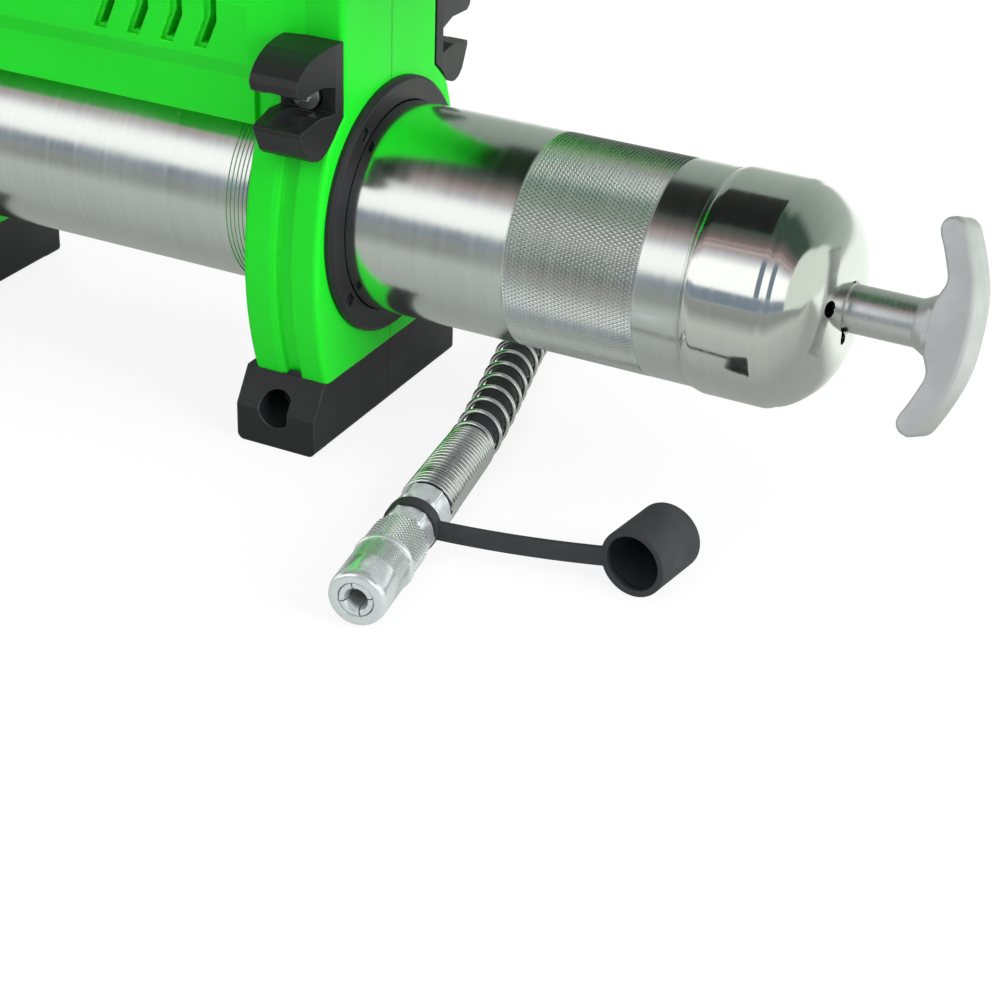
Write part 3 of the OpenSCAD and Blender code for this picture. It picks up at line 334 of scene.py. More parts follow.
dome, dome_inside = dome_line()
cap_outer = [(118, 28.25), (111.2, 28.25), (110.6, 28.45), (110.5, 28.62), (110.55, 28.8), (110.8, 28.95),
             (111.6, 29.17), (112.4, 29.38), (112.7, 29.43), (113.1, 29.45), (113.6, 29.45), (127.6, 29.45),
             (128.2, 29.45), (128.6, 29.44)] + dome
cap_inner = [(143.3, 6.7)] + dome_inside[::-1] + [(128.0, 28.7), (118.6, 28.3)]


def cap_piece():
    obj = lathe("pressed_cap", on_axis, cap_outer + cap_inner + [cap_outer[0]], "barrel", BARREL_SIDES)
    cutters = []
    for index, (across, height, radius) in enumerate(HOLES):
        at = Matrix.Translation((HOLES_AT * MM, across * MM, AXIS_H + height * MM))
        mesh = bmesh.new()
        bmesh.ops.create_cone(mesh, cap_ends=True, segments=HOLE_SIDES, radius1=radius * MM,
                              radius2=radius * MM, depth=HOLE_DEPTH * MM,
                              matrix=at @ Matrix.Rotation(math.pi / 2, 4, "Y"))
        data = bpy.data.meshes.new("hole%d" % index)
        mesh.to_mesh(data)
        mesh.free()
        cutter = bpy.data.objects.new("hole%d" % index, data)
        bpy.context.collection.objects.link(cutter)
        cutters.append(cutter)
        cut = obj.modifiers.new(cutter.name, "BOOLEAN")
        cut.operation = "DIFFERENCE"
        cut.solver = "EXACT"
        cut.object = cutter
    apply_modifiers(obj)
    sharpen(obj, 40)
    for cutter in cutters:
        bpy.data.objects.remove(cutter)
    return obj


cap = cap_piece()
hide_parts("barrel_tube")
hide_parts("end_cap")

# Follower spring: its last turn closes in under the dome

SPRING_FROM, SPRING_TO, SPRING_TURNS, SPRING_R, SPRING_WIRE = 77.5, 140.2, 8, 17.5, 2.4
CLOSE_IN, END_TURN = 2.2, 1.06  # how far the last turn closes in, and an end turn's rise in wires


def spring_piece():
    verts = []
    steps, sides = 28, 10
    total = SPRING_TURNS * steps
    close = END_TURN * SPRING_WIRE
    free = SPRING_TO - SPRING_FROM - 2 * close
    for i in range(total + 1):
        t = i / steps
        x = (SPRING_FROM + close * (min(t, 1) + max(t - SPRING_TURNS + 1, 0))
             + free * min(max(t - 1, 0), SPRING_TURNS - 2) / (SPRING_TURNS - 2))
        r = SPRING_R - CLOSE_IN * max(t - SPRING_TURNS + 2, 0) / 2
        out = Vector((0, math.cos(2 * math.pi * t), math.sin(2 * math.pi * t)))
        for j in range(sides):
            turn = 2 * math.pi * j / sides
            wire = math.cos(turn) * out + math.sin(turn) * Vector((1, 0, 0))
            point = Vector((x, 0, 0)) + r * out + SPRING_WIRE / 2 * wire
            verts.append(point * MM + Vector((0, 0, AXIS_H)))
    obj = add_mesh("return_spring", verts, tube(0, total + 1, sides), None)
    mend_normals(obj)
    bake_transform(obj)
    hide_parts("follower_spring")
    return obj


return_spring = spring_piece()

# Coupler: sleeve with its ridge and knurls, six-sided body, nut, four spring jaws, and the cap on its strap

on_nose = Matrix.Translation(NOSE) @ Matrix((nose_axis, nose_side, (0, 0, 1))).transposed().to_4x4()
HEX_FROM, HEX_TO, RING_FROM, RING_TO = 29.3, 34.9, 35.3, 38.6
HEX_TURN = math.radians(52)
BODY_HALF_FLATS, NUT_HALF_FLATS = 6.45, 6.6


def six_sided(half_flats, x_from, x_to):
    """A shape for lathe: what stands out between the two places is cut to a hexagon."""
    def shape(x, r, turn):
        if r < half_flats * 0.93 or not x_from <= x <= x_to:
            return r
        return min(r, half_flats / math.cos((turn - HEX_TURN) % math.radians(60) - math.radians(30)))
    return shape


sleeve_line = [(2.6, 6.1), (2.6, 4.62), (-1.25, 4.62), (-1.5, 4.75), (-1.5, 6.0), (-1.38, 6.5), (-1.05, 6.95),
               (-0.55, 7.28), (0.1, 7.45), (0.9, 7.5), (7.8, 7.5), (8.0, 7.42), (15.6, 7.42), (15.8, 7.5),
               (16.5, 7.5), (16.7, 7.75), (17.0, 7.93), (17.3, 7.96), (17.6, 7.93), (17.9, 7.75),
               (18.1, 7.2), (18.6, 7.12), (28.2, 7.12), (28.7, 7.0), (29.0, 6.7), (29.0, 6.1), (2.6, 6.1)]
sleeve = lathe("turned_sleeve", on_nose, sleeve_line, "sleeve", 160)
sleeve_knurl = knurl_pads("sleeve_knurl", on_nose, 18.5, 28.5, 40, 1.2, 7.6, 7.12, "sleeve", 0.2)
fine_knurl = knurl_pads("sleeve_fine_knurl", on_nose, 8.1, 15.5, 50, 0.95, 7.54, 7.42, "sleeve", 0.05)
core_line = [(11, 2.4), (11, 5.9), (27.5, 5.9), (28.4, 6.3), (HEX_FROM, 6.7), (HEX_FROM + 0.5, 7.3),
             (HEX_TO - 0.9, 7.35), (HEX_TO, 6.5), (HEX_TO + 0.1, 6.2), (39.6, 6.2), (39.6, 2.4), (11, 2.4)]
core = lathe("coupler_core", on_nose, core_line, "gun",
             shape=six_sided(BODY_HALF_FLATS, HEX_FROM + 0.1, HEX_TO - 0.1))
nut_line = [(NUT_AT, 6.25), (NUT_AT, 6.6), (NUT_AT + 0.9, 7.5), (NUT_END - 0.9, 7.5), (NUT_END, 6.7),
            (NUT_END, 5.1), (NUT_AT + 0.6, 5.1), (NUT_AT + 0.6, 6.25), (NUT_AT, 6.25)]
nut = lathe("hose_nut_fine", on_nose, nut_line, "gun",
            shape=six_sided(NUT_HALF_FLATS, NUT_AT + 0.1, NUT_END - 0.1))


def jaws_piece():
    """Four sectors round the opening, each with a lead-in and a rounded lip."""
    line = eased([(10.2, 2.45), (0.4, 2.45), (-1.35, 3.15), (-1.35, 4.3), (-0.7, 4.5), (10.2, 4.5)], 0.22, 3)
    verts, faces = [], []
    jaws_turn, steps, half_slit = 15, 20, 0.17
    for jaw in range(4):
        faces += tube(len(verts), steps + 1, len(line))
        for j in range(steps + 1):
            for x, r in line:
                gap = math.asin(half_slit / r)
                low = math.radians(jaws_turn + 90 * jaw) + gap
                verts.append(ring_point(on_nose, x, r, low + (math.radians(90) - 2 * gap) * j / steps))
    obj = add_mesh("spring_jaws", verts, faces, "gun")
    mend_normals(obj)
    sharpen(obj, 35)
    return obj


jaws = jaws_piece()

CAP_AT, CAP_R, CAP_LEN, CAP_BORE = Vector((115.4, -61.2, 9.0)) * MM, 9.0, 19.4, 7.8
cap_way = Matrix.Rotation(math.radians(82.5), 4, "Z")
rubber_line = eased([(CAP_LEN - 0.01, 0.3), (CAP_LEN, 0.4), (CAP_LEN, 7.4), (CAP_LEN - 1.6, CAP_R),
                     (3.2, CAP_R), (0, CAP_R), (0, 7.2), (1.8, 7.25), (2.6, CAP_BORE),
                     (CAP_LEN - 1.9, CAP_BORE), (CAP_LEN - 1.8, 0.3), (CAP_LEN - 0.01, 0.3)], 0.5)
rubber_line[-1] = rubber_line[0]
rubber_cap = lathe("rubber_cap", Matrix.Translation(CAP_AT) @ cap_way, rubber_line, "gun", 128)
ring_line = eased([(RING_FROM, 6.9), (RING_FROM, 7.25), (RING_TO, 7.3), (RING_TO, 6.9), (RING_TO, 6.22),
                   (RING_FROM, 6.22), (RING_FROM, 6.9)], 0.35, 3)
ring_line[-1] = ring_line[0]
cap_ring = lathe("strap_ring", on_nose, ring_line, "gun", 128)
STRAP_T, STRAP_H, STRAP_Z, STRAP_BOW = 1.4, 5.1, 8.0, -1.2
STRAP_START, STRAP_END = Vector((6.5, 0.9)), Vector((107.6, -59.2))  # the start from the ring's middle


def strap_piece():
    """A flat strap on edge, in a slight bow from its ring to the rubber cap."""
    steps = 24
    middle = NOSE / MM + 0.5 * (RING_FROM + RING_TO) * nose_axis
    begin = middle.to_2d() + STRAP_START
    run = STRAP_END - begin
    verts = []
    outline = [(-0.5, -0.5), (-0.5, 0.5), (0.5, 0.5), (0.5, -0.5)]
    section = []
    for (a, b), (c, d) in zip(outline, outline[1:] + outline[:1]):
        for t in (0.1, 0.5, 0.9):
            section.append(((a + (c - a) * t) * STRAP_T, (b + (d - b) * t) * STRAP_H))
    for i in range(steps + 1):
        t = i / steps
        at = begin + run * t + Vector((0, STRAP_BOW * 4 * t * (1 - t)))
        slope = run + Vector((0, STRAP_BOW * 4 * (1 - 2 * t)))
        across = Vector((-slope.y, slope.x)).normalized()
        verts += [Vector((at.x + across.x * v, at.y + across.y * v, STRAP_Z + z)) * MM for v, z in section]
    obj = add_mesh("cap_strap", verts, tube(0, steps + 1, len(section)), "gun")
    mend_normals(obj)
    sharpen(obj, 50)
    return obj


strap = strap_piece()
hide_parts("coupler_sleeve")
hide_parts("coupler_body")
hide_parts("hose_nut")
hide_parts("coupler_jaws")
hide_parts("dust_cap")
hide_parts("hose")
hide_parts("hose_guard")

# T-handle: a cast crescent across its stem, with a flat face, round edges and a little draft

HANDLE_TURN = math.radians(21.8)
HANDLE_THICK, HANDLE_DRAFT, STEM_HALF = 14.0, 0.9, 6.75
FRONT_ROUND, BACK_ROUND, ROUND_STEPS = 1.2, 0.95, 6
HANDLE_HALF = [(174.95, 0), (174.85, 4.8), (174.45, 8.7), (173.65, 12.4), (172.5, 16), (171.1, 19.6),
               (169.5, 23.1), (168.3, 25.3), (166.9, 26.2), (165.3, 25.9), (164.4, 24.4), (164.75, 22.6),
               (165.75, 20.6), (166.8, 18.2), (167.9, 15.4), (168.75, 12.9), (168.75, 10.6), (167.9, 8.4),
               (167.1, 6.6), (166.8, 4), (166.8, 1.4)]
FLARE_LINE = [(161.6, 5.5), (161.9, 6.16), (162.3, 6.3), (163.0, 6.6), (164.8, 7.6), (166.6, 8.4),
              (168.2, 8.6), (169, 2)]


def closed_spline(points, steps):
    """A smooth closed line through the points."""
    out = []
    count = len(points)
    for i in range(count):
        near = [Vector(points[(i + k - 1) % count]) for k in range(4)]
        out += [spline_point(*near, j / steps) for j in range(steps)]
    return out


def handle_piece():
    # The crease is the outline before the edges are rounded; outward is its normal at each place
    crease = closed_spline(HANDLE_HALF + [(x, -v) for x, v in reversed(HANDLE_HALF) if v > 0], 5)
    count = len(crease)
    outward = []
    for i in range(count):
        run = crease[(i + 1) % count] - crease[i - 1]
        outward.append(Vector((run.y, -run.x)).normalized())
    if outward[0].x < 0:
        outward = [-n for n in outward]
    top, arc = HANDLE_THICK / 2, ROUND_STEPS
    rings = []
    for k in range(2 * arc + 2):
        front = k <= arc
        angle = math.radians(90) * (k / arc if front else (2 * arc + 1 - k) / arc)
        ring = []
        for point, n in zip(crease, outward):
            r = FRONT_ROUND if n.x > 0 else BACK_ROUND
            z = (top - r * (1 - math.cos(angle))) * (1 if front else -1)
            spread = r * math.sin(angle) + HANDLE_DRAFT * max(n.x, 0) * (top - z) / HANDLE_THICK
            flat = point + n * spread
            ring.append(Vector((flat.x, flat.y, z)))
        rings.append(ring)
    turn = Matrix.Rotation(math.radians(90) - HANDLE_TURN, 4, "X")
    place = Matrix.Translation((0, 0, AXIS_H)) @ Matrix.Scale(MM, 4)
    verts = [place @ turn @ v for ring in rings for v in ring]
    sides = 96
    faces = tube(0, len(rings), count) + tube(len(verts), len(FLARE_LINE), sides)
    across = turn @ Vector((0, 0, 1))
    for x, r in FLARE_LINE:
        for j in range(sides):
            round_at = 2 * math.pi * j / sides
            way = Vector((0, math.cos(round_at), math.sin(round_at)))
            flat = STEM_HALF / max(abs(way.dot(across)), 0.1)
            verts.append(place @ (Vector((x, 0, 0)) + way * min(r, flat)))
    obj = add_mesh("handle_casting", verts, faces, "rod")
    mend_normals(obj)
    sharpen(obj, 14)
    return obj


handle = handle_piece()
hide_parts("t_handle")
stem_line = [(141.5, 4.1), (141.5, 6.2), (152, 6.2), (162.2, 6.2), (162.2, 4.1), (141.5, 4.1)]
handle_stem = lathe("handle_stem", on_axis, stem_line, "rod", 128)


# Materials

class Look:
    """One procedural material, built up step by step."""

    def __init__(self, name, colour, rough, metallic=0.0):
        self.material = bpy.data.materials.new(name)
        self.material.use_nodes = True
        self.tree = self.material.node_tree
        self.shader = self.tree.nodes["Principled BSDF"]
        self.colour = tuple(colour) + (1,)
        self.shader.inputs["Base Color"].default_value = self.colour
        self.shader.inputs["Roughness"].default_value = rough
        self.shader.inputs["Metallic"].default_value = metallic
        self.place = self.node("ShaderNodeTexCoord").outputs["Object"]
        self.height = None
        self.tint = None
        self.rough = None
        self.base_rough = rough
        self.comb = None

    def node(self, kind, **settings):
        made = self.tree.nodes.new(kind)
        for key, value in settings.items():
            setattr(made, key, value)
        return made

    def link(self, source, target):
        self.tree.links.new(source, target)

    def math(self, operation, a, b=0.0, clamp=False):
        node = self.node("ShaderNodeMath", operation=operation, use_clamp=clamp)
        for socket, value in zip(node.inputs, (a, b)):
            if isinstance(value, (int, float)):
                socket.default_value = value
            else:
                self.link(value, socket)
        return node.outputs[0]

    def noise(self, scale, detail=3.0, stretch=(1, 1, 1), place=None):
        """A smooth noise of 0 to 1."""
        mapping = self.node("ShaderNodeMapping")
        mapping.inputs["Scale"].default_value = stretch
        self.link(place or self.place, mapping.inputs["Vector"])
        noise = self.node("ShaderNodeTexNoise")
        noise.inputs["Scale"].default_value = scale
        noise.inputs["Detail"].default_value = detail
        noise.inputs["Roughness"].default_value = 0.55
        self.link(mapping.outputs[0], noise.inputs["Vector"])
        return noise.outputs["Fac"]

    def ramp(self, value, low, high, a=0.0, b=1.0):
        node = self.node("ShaderNodeMapRange", clamp=True)
        self.link(value, node.inputs["Value"])
        for name, number in (("From Min", low), ("From Max", high), ("To Min", a), ("To Max", b)):
            node.inputs[name].default_value = number
        return node.outputs[0]

    def mix(self, factor, a, b):
        node = self.node("ShaderNodeMix", data_type="RGBA")
        for socket, value in ((node.inputs[0], factor), (node.inputs[6], a), (node.inputs[7], b)):
            if isinstance(value, (int, float)):
                socket.default_value = value
            elif isinstance(value, (tuple, list)):
                socket.default_value = tuple(value)[:3] + (1,)
            else:
                self.link(value, socket)
        return node.outputs[2]

    def paint(self, factor, colour):
        """Lays a colour over the tint where factor is 1."""
        self.tint = self.mix(factor, self.tint or self.colour, colour)

    def vary(self, amount, scale, stretch=(1, 1, 1)):
        """Slight lighter and darker patches of the base colour."""
        patches = self.ramp(self.noise(scale, 2, stretch), 0.3, 0.7)
        dark = tuple(c * (1 - amount) for c in self.colour[:3])
        light = tuple(min(c * (1 + amount), 1) for c in self.colour[:3])
        self.tint = self.mix(patches, dark, light)

    def rough_add(self, value):
        before = self.base_rough if self.rough is None else self.rough
        self.rough = self.math("ADD", before, value, True)

    def raise_by(self, value, depth):
        """Adds a height in metres."""
        step = self.math("MULTIPLY", value, depth)
        self.height = step if self.height is None else self.math("ADD", self.height, step)

    def edge_mask(self, radius, gain=6.0):
        """1 along sharp edges, 0 elsewhere, the same from every side."""
        bevel = self.node("ShaderNodeBevel", samples=6)
        bevel.inputs["Radius"].default_value = radius
        geometry = self.node("ShaderNodeNewGeometry")
        dot = self.node("ShaderNodeVectorMath", operation="DOT_PRODUCT")
        self.link(bevel.outputs[0], dot.inputs[0])
        self.link(geometry.outputs["Normal"], dot.inputs[1])
        return self.math("MULTIPLY", self.math("SUBTRACT", 1.0, dot.outputs["Value"]), gain, True)

    def finish(self, bevel_radius=0.0):
        normal = self.comb
        if bevel_radius:
            bevel = self.node("ShaderNodeBevel", samples=6)
            bevel.inputs["Radius"].default_value = bevel_radius
            normal = bevel.outputs[0]
        if self.height is not None:
            bump = self.node("ShaderNodeBump")
            bump.inputs["Distance"].default_value = 1.0
            bump.inputs["Strength"].default_value = 1.0
            self.link(self.height, bump.inputs["Height"])
            if normal:
                self.link(normal, bump.inputs["Normal"])
            normal = bump.outputs[0]
        if normal:
            self.link(normal, self.shader.inputs["Normal"])
        if self.tint is not None:
            self.link(self.tint, self.shader.inputs["Base Color"])
        if self.rough is not None:
            self.link(self.rough, self.shader.inputs["Roughness"])
        return self.material


def seam_mask(look, width):
    """1 on the plane where the two halves meet."""
    parts = look.node("ShaderNodeSeparateXYZ")
    look.link(look.place, parts.inputs[0])
    away = look.math("ABSOLUTE", parts.outputs["Y"])
    return look.ramp(away, 0.3 * width, width, 1.0, 0.0)


def round_place(look, centre, axis):
    """Place along a shaft, and place round it, as a vector for stretched noise."""
    mapping = look.node("ShaderNodeMapping", vector_type="POINT")
    mapping.inputs["Location"].default_value = tuple(-c for c in centre)
    look.link(look.place, mapping.inputs["Vector"])
    dot = look.node("ShaderNodeVectorMath", operation="DOT_PRODUCT")
    look.link(mapping.outputs[0], dot.inputs[0])
    dot.inputs[1].default_value = tuple(axis)
    along = dot.outputs["Value"]
    length = look.node("ShaderNodeVectorMath", operation="LENGTH")
    look.link(mapping.outputs[0], length.inputs[0])
    radial = look.math("SQRT", look.math("MAXIMUM", look.math(
        "SUBTRACT", look.math("POWER", length.outputs["Value"], 2.0), look.math("POWER", along, 2.0)), 0.0))
    joined = look.node("ShaderNodeCombineXYZ")
    look.link(along, joined.inputs[0])
    look.link(radial, joined.inputs[1])
    return joined.outputs[0], mapping.outputs[0]


def plastic(name, colour, rough, edge_colour, edge_amount, seam=False, grain=(2600, 0.00001), bevel=0.0007,
            gloss=0.3, gloss_tint=(1, 1, 1)):
    """Moulded plastic with a fine grain, edges painted lighter as wear and as painted highlight, and a seam
    where two halves meet.
    """
    look = Look(name, colour, rough)
    look.vary(0.05, 18)
    look.raise_by(look.noise(grain[0], 2), grain[1])
    look.raise_by(look.noise(60, 2), 0.00006)
    look.rough_add(look.ramp(look.noise(45, 3), 0.35, 0.65, -0.04, 0.05))
    # Edges are painted lighter: part wear, part painted highlight where the eased edges catch light.
    edge = look.edge_mask(bevel * 0.8)
    patches = look.ramp(look.noise(220, 4), 0.35, 0.6, 0.35 * edge_amount, edge_amount)
    edge_wear_and_highlight = look.math("MULTIPLY", edge, patches)
    look.paint(edge_wear_and_highlight, edge_colour)
    if seam:
        line = seam_mask(look, 0.00022)
        look.paint(look.math("MULTIPLY", line, 0.55), tuple(c * 0.35 for c in colour))
        look.raise_by(line, -0.00012)
    look.shader.inputs["Specular IOR Level"].default_value = gloss
    look.shader.inputs["Specular Tint"].default_value = gloss_tint + (1,)
    return look.finish(bevel)


def comb_normal(look, axis, moved, amount):
    """The surface's normal, tilted to and fro round the shaft from ring to ring."""
    def vector(operation, a, b):
        node = look.node("ShaderNodeVectorMath", operation=operation)
        for socket, value in zip(node.inputs, (a, b)):
            if isinstance(value, tuple):
                socket.default_value = value
            elif value is not None:
                look.link(value, socket)
        return node
    round_way = vector("NORMALIZE", vector("CROSS_PRODUCT", tuple(axis), moved).outputs[0], None).outputs[0]
    streak = look.math("ADD", look.noise(3000, 2, (1, 0.02, 0.02)), look.noise(1100, 2, (1, 0.02, 0.02)))
    tilt = look.math("MULTIPLY", look.math("SUBTRACT", streak, 1.0), amount)
    scaled = look.node("ShaderNodeVectorMath", operation="SCALE")
    look.link(round_way, scaled.inputs[0])
    look.link(tilt, scaled.inputs["Scale"])
    normal = look.node("ShaderNodeNewGeometry").outputs["Normal"]
    return vector("NORMALIZE", vector("ADD", normal, scaled.outputs[0]).outputs[0], None).outputs[0]


def turned_metal(name, colour, rough, axis, centre, rings=0.5, aniso=0.55, ring_depth=0.0000012, dull=0.05,
                 bevel=0.0, comb=0.0, metallic=1.0):
    """Metal with fine rings round a shaft, and slight blotches; comb tilts each ring a little."""
    look = Look(name, colour, rough, metallic)
    along, moved = round_place(look, centre, axis)
    fine = look.noise(5200, 2, (1, 0.9, 0), along)
    broad = look.noise(650, 3, (1, 1, 0), along)
    look.raise_by(fine, ring_depth)
    look.raise_by(broad, ring_depth * 1.6)
    blotch = look.noise(30, 4)
    look.rough_add(look.ramp(blotch, 0.3, 0.7, -dull * 0.6, dull))
    look.rough_add(look.ramp(broad, 0.3, 0.7, -dull * 0.5, dull * 0.5))
    tones = look.math("ADD", look.math("MULTIPLY", broad, rings), look.math("MULTIPLY", blotch, 1 - rings))
    shade = look.ramp(tones, 0.3, 0.7)
    look.tint = look.mix(shade, tuple(c * 0.93 for c in colour), tuple(min(1, c * 1.05) for c in colour))
    scuffs = look.ramp(look.noise(700, 5, (0.25, 1, 1)), 0.66, 0.74)
    look.rough_add(look.math("MULTIPLY", scuffs, 0.08))
    look.shader.inputs["Anisotropic"].default_value = aniso
    tangent = look.node("ShaderNodeTangent", direction_type="RADIAL", axis="X")
    if abs(axis[0]) > 0.9:
        look.link(tangent.outputs[0], look.shader.inputs["Tangent"])
    else:
        look.shader.inputs["Anisotropic"].default_value = 0.0
    if comb:
        look.comb = comb_normal(look, axis, moved, comb)
    return look.finish(bevel)


def cast_metal(name, colour, rough, metallic=1.0):
    """Sand-cast or die-cast metal, a little brighter along its edges."""
    look = Look(name, colour, rough, metallic)
    look.vary(0.06, 60)
    look.raise_by(look.noise(1500, 4), 0.00008)
    look.raise_by(look.noise(420, 3), 0.0001)
    look.rough_add(look.ramp(look.noise(300, 4), 0.35, 0.65, -0.05, 0.07))
    edge = look.edge_mask(0.0008, 4)
    look.paint(look.math("MULTIPLY", edge, 0.4), tuple(min(1, c * 1.2) for c in colour))
    return look.finish(0.0008)


def rubber(name, colour, rough):
    """Rubber with dust in its pores."""
    look = Look(name, colour, rough)
    look.vary(0.12, 40)
    look.raise_by(look.noise(1900, 3), 0.00002)
    look.raise_by(look.noise(240, 3), 0.00003)
    dust = look.ramp(look.noise(120, 5), 0.5, 0.75)
    look.paint(look.math("MULTIPLY", dust, 0.3), tuple(min(1, c * 1.8 + 0.01) for c in colour))
    look.rough_add(look.ramp(look.noise(90, 3), 0.35, 0.65, -0.05, 0.06))
    return look.finish(0.0004)


BARREL_CENTRE = (0, 0, AXIS_H)
X_AXIS = (1, 0, 0)
CLIP_SCREW_AT = (0.0047, 0, 0.0983)
# The second green is the lighter edge colour: part wear, part painted highlight of edges catching light.
GREEN, WEAR_AND_HIGHLIGHT_GREEN, GREEN_GLOSS = (0.009, 0.6, 0.017), (0.07, 0.97, 0.03), (0.55, 1, 0.6)
ZINC, STEEL = (0.74, 0.765, 0.745), (0.78, 0.78, 0.78)
green = plastic("green_moulding", GREEN, 0.4, WEAR_AND_HIGHLIGHT_GREEN, 0.6, seam=True, bevel=0.0008, gloss=0.25,
                gloss_tint=GREEN_GLOSS)
green_latch = plastic("green_latch", GREEN, 0.4, WEAR_AND_HIGHLIGHT_GREEN, 0.5, gloss_tint=GREEN_GLOSS)
black = plastic("black_moulding", (0.013, 0.0135, 0.0145), 0.46, (0.1, 0.1, 0.105), 0.6, seam=True,
                grain=(1500, 0.00002), bevel=0.0009)
black_small = plastic("black_trim", (0.015, 0.0155, 0.0165), 0.42, (0.1, 0.1, 0.105), 0.55,
                      grain=(1700, 0.000015), bevel=0.0005)
soft_black = rubber("soft_black", (0.025, 0.026, 0.028), 0.62)
hose_rubber = rubber("hose_rubber", (0.018, 0.019, 0.021), 0.5)
cap_rubber = rubber("cap_rubber", (0.024, 0.025, 0.028), 0.62)
zinc = turned_metal("zinc_barrel", ZINC, 0.17, X_AXIS, BARREL_CENTRE, comb=0.022)
cap_steel = turned_metal("cap_steel", (0.78, 0.795, 0.77), 0.1, X_AXIS, BARREL_CENTRE, rings=0.3, aniso=0.3,
                         ring_depth=0.0000008, comb=0.006)
knurl_zinc = turned_metal("knurl_zinc", ZINC, 0.24, X_AXIS, BARREL_CENTRE, aniso=0.0)
rod_steel = turned_metal("rod_steel", STEEL, 0.16, X_AXIS, BARREL_CENTRE, aniso=0.4)
coupler_zinc = turned_metal("coupler_zinc", (0.84, 0.89, 0.91), 0.22, tuple(nose_axis), tuple(NOSE),
                            aniso=0.0, bevel=0.0002, metallic=0.8)
knurled_coupler = turned_metal("knurled_coupler", (0.84, 0.88, 0.89), 0.2, tuple(nose_axis), tuple(NOSE),
                               aniso=0.0, metallic=0.9)
wire_steel = turned_metal("wire_steel", (0.82, 0.82, 0.82), 0.2, tuple(nose_axis), tuple(NOSE), aniso=0.0)
spring_steel = turned_metal("spring_steel", (0.6, 0.6, 0.6), 0.3, X_AXIS, BARREL_CENTRE, aniso=0.0)
fitting_zinc = turned_metal("fitting_zinc", (0.7, 0.7, 0.68), 0.27, X_AXIS, BARREL_CENTRE, aniso=0.0,
                            bevel=0.0004)
screw_steel = turned_metal("screw_steel", (0.68, 0.68, 0.67), 0.26, (0, 1, 0), CLIP_SCREW_AT, aniso=0.0,
                           bevel=0.0003)
case_screws = plastic("black_oxide", (0.02, 0.02, 0.022), 0.35, (0.25, 0.25, 0.25), 0.6, bevel=0.0003)
cast_aluminium = cast_metal("cast_aluminium", (0.6, 0.605, 0.61), 0.4)
handle_metal = cast_metal("handle_metal", (0.74, 0.75, 0.75), 0.52, 0.92)
stem_metal = turned_metal("stem_metal", STEEL, 0.26, X_AXIS, BARREL_CENTRE, aniso=0.5, comb=0.02)


def lens_plastic():
    """Clear plastic with fine upright flutes."""
    look = Look("lamp_lens", (0.93, 0.96, 1.0), 0.08)
    look.shader.inputs["Transmission Weight"].default_value = 0.85
    look.shader.inputs["IOR"].default_value = 1.49
    look.raise_by(look.noise(700, 1, (1, 1, 0.02)), 0.00012)
    return look.finish(0.0004)


lens = lens_plastic()

LOOKS = {
    "barrel_tube": zinc, "end_cap": cap_steel, "follower_rod": rod_steel, "t_handle": handle_metal,
    "follower_plate_disc": rod_steel, "follower_rubber": soft_black, "follower_spring": spring_steel,
    "barrel_gasket": soft_black, "pump_head": cast_aluminium, "plunger_plug": fitting_zinc,
    "air_bleeder": fitting_zinc, "relief_valve": fitting_zinc, "loader_fitting": fitting_zinc,
    "outlet_fitting": fitting_zinc, "head_bolts": fitting_zinc, "hose_ferrule": fitting_zinc,
    "hose": hose_rubber, "hose_guard": wire_steel, "hose_nut": coupler_zinc, "coupler_sleeve": coupler_zinc,
    "coupler_body": coupler_zinc, "coupler_jaws": coupler_zinc, "dust_cap": cap_rubber,
    "housing_left": green, "housing_right": green, "bezel_ring": black_small,
    "rear_foot_left": black, "rear_foot_right": black, "front_foot_left": black, "front_foot_right": black,
    "clip_left": black_small, "clip_right": black_small, "clip_screws": screw_steel,
    "housing_screws": case_screws, "motor": fitting_zinc, "gearbox": cast_aluminium, "grip_cover": soft_black,
    "trigger": black_small, "lock_button": black_small, "battery_pack": black,
    "battery_latch": green_latch, "lamp_lens": lens}


def dress(obj, material):
    """Puts a material on every slot of a piece, or on a new slot when it has none."""
    if len(obj.material_slots):
        for place in obj.material_slots:
            place.material = material
    else:
        obj.data.materials.append(material)


for name, material in LOOKS.items():
    dress(NODES[name], material)
dress(hose, hose_rubber)
dress(guard, wire_steel)
dress(barrel, zinc)
dress(cap, cap_steel)
dress(knurl_band, knurl_zinc)
for piece in (sleeve, core, nut):
    dress(piece, coupler_zinc)
for piece in (sleeve_knurl, fine_knurl):
    dress(piece, knurled_coupler)
dress(jaws, coupler_zinc)
for piece in (rubber_cap, cap_ring, strap):
    dress(piece, cap_rubber)
dress(handle, handle_metal)
dress(handle_stem, stem_metal)
dress(return_spring, spring_steel)


# Stage: pale floor, and a glowing surround of painted reflections that only reflections see

def stage_mesh(name, verts, faces, material):
    mesh = bpy.data.meshes.new(name)
    mesh.from_pydata(verts, [], faces)
    obj = bpy.data.objects.new(name, mesh)
    mesh.materials.append(material)
    bpy.context.collection.objects.link(obj)
    return obj


# Painted shade and light of the floor as gloss shows it, by the distance from the barrel's middle towards +Y:
# darker under the barrel, bright beyond it
FLOOR_PAINTED_GLOSS = ((-0.8, 0.34), (-0.34, 0.32), (-0.24, 0.4), (-0.15, 0.6), (-0.06, 0.5), (-0.03, 0.4),
               (0.035, 0.42), (0.055, 0.75), (0.085, 1.1), (0.6, 1.1), (1.1, 0.9))
FLOOR_TOP, FLOOR_TINT, FLOOR_WHITE = 1.1, (0.95, 1.0, 0.94), 0.86


def blank_material(name):
    """A material without nodes, and its nodes and links."""
    material = bpy.data.materials.new(name)
    material.use_nodes = True
    nodes, links = material.node_tree.nodes, material.node_tree.links
    nodes.clear()
    return material, nodes, links


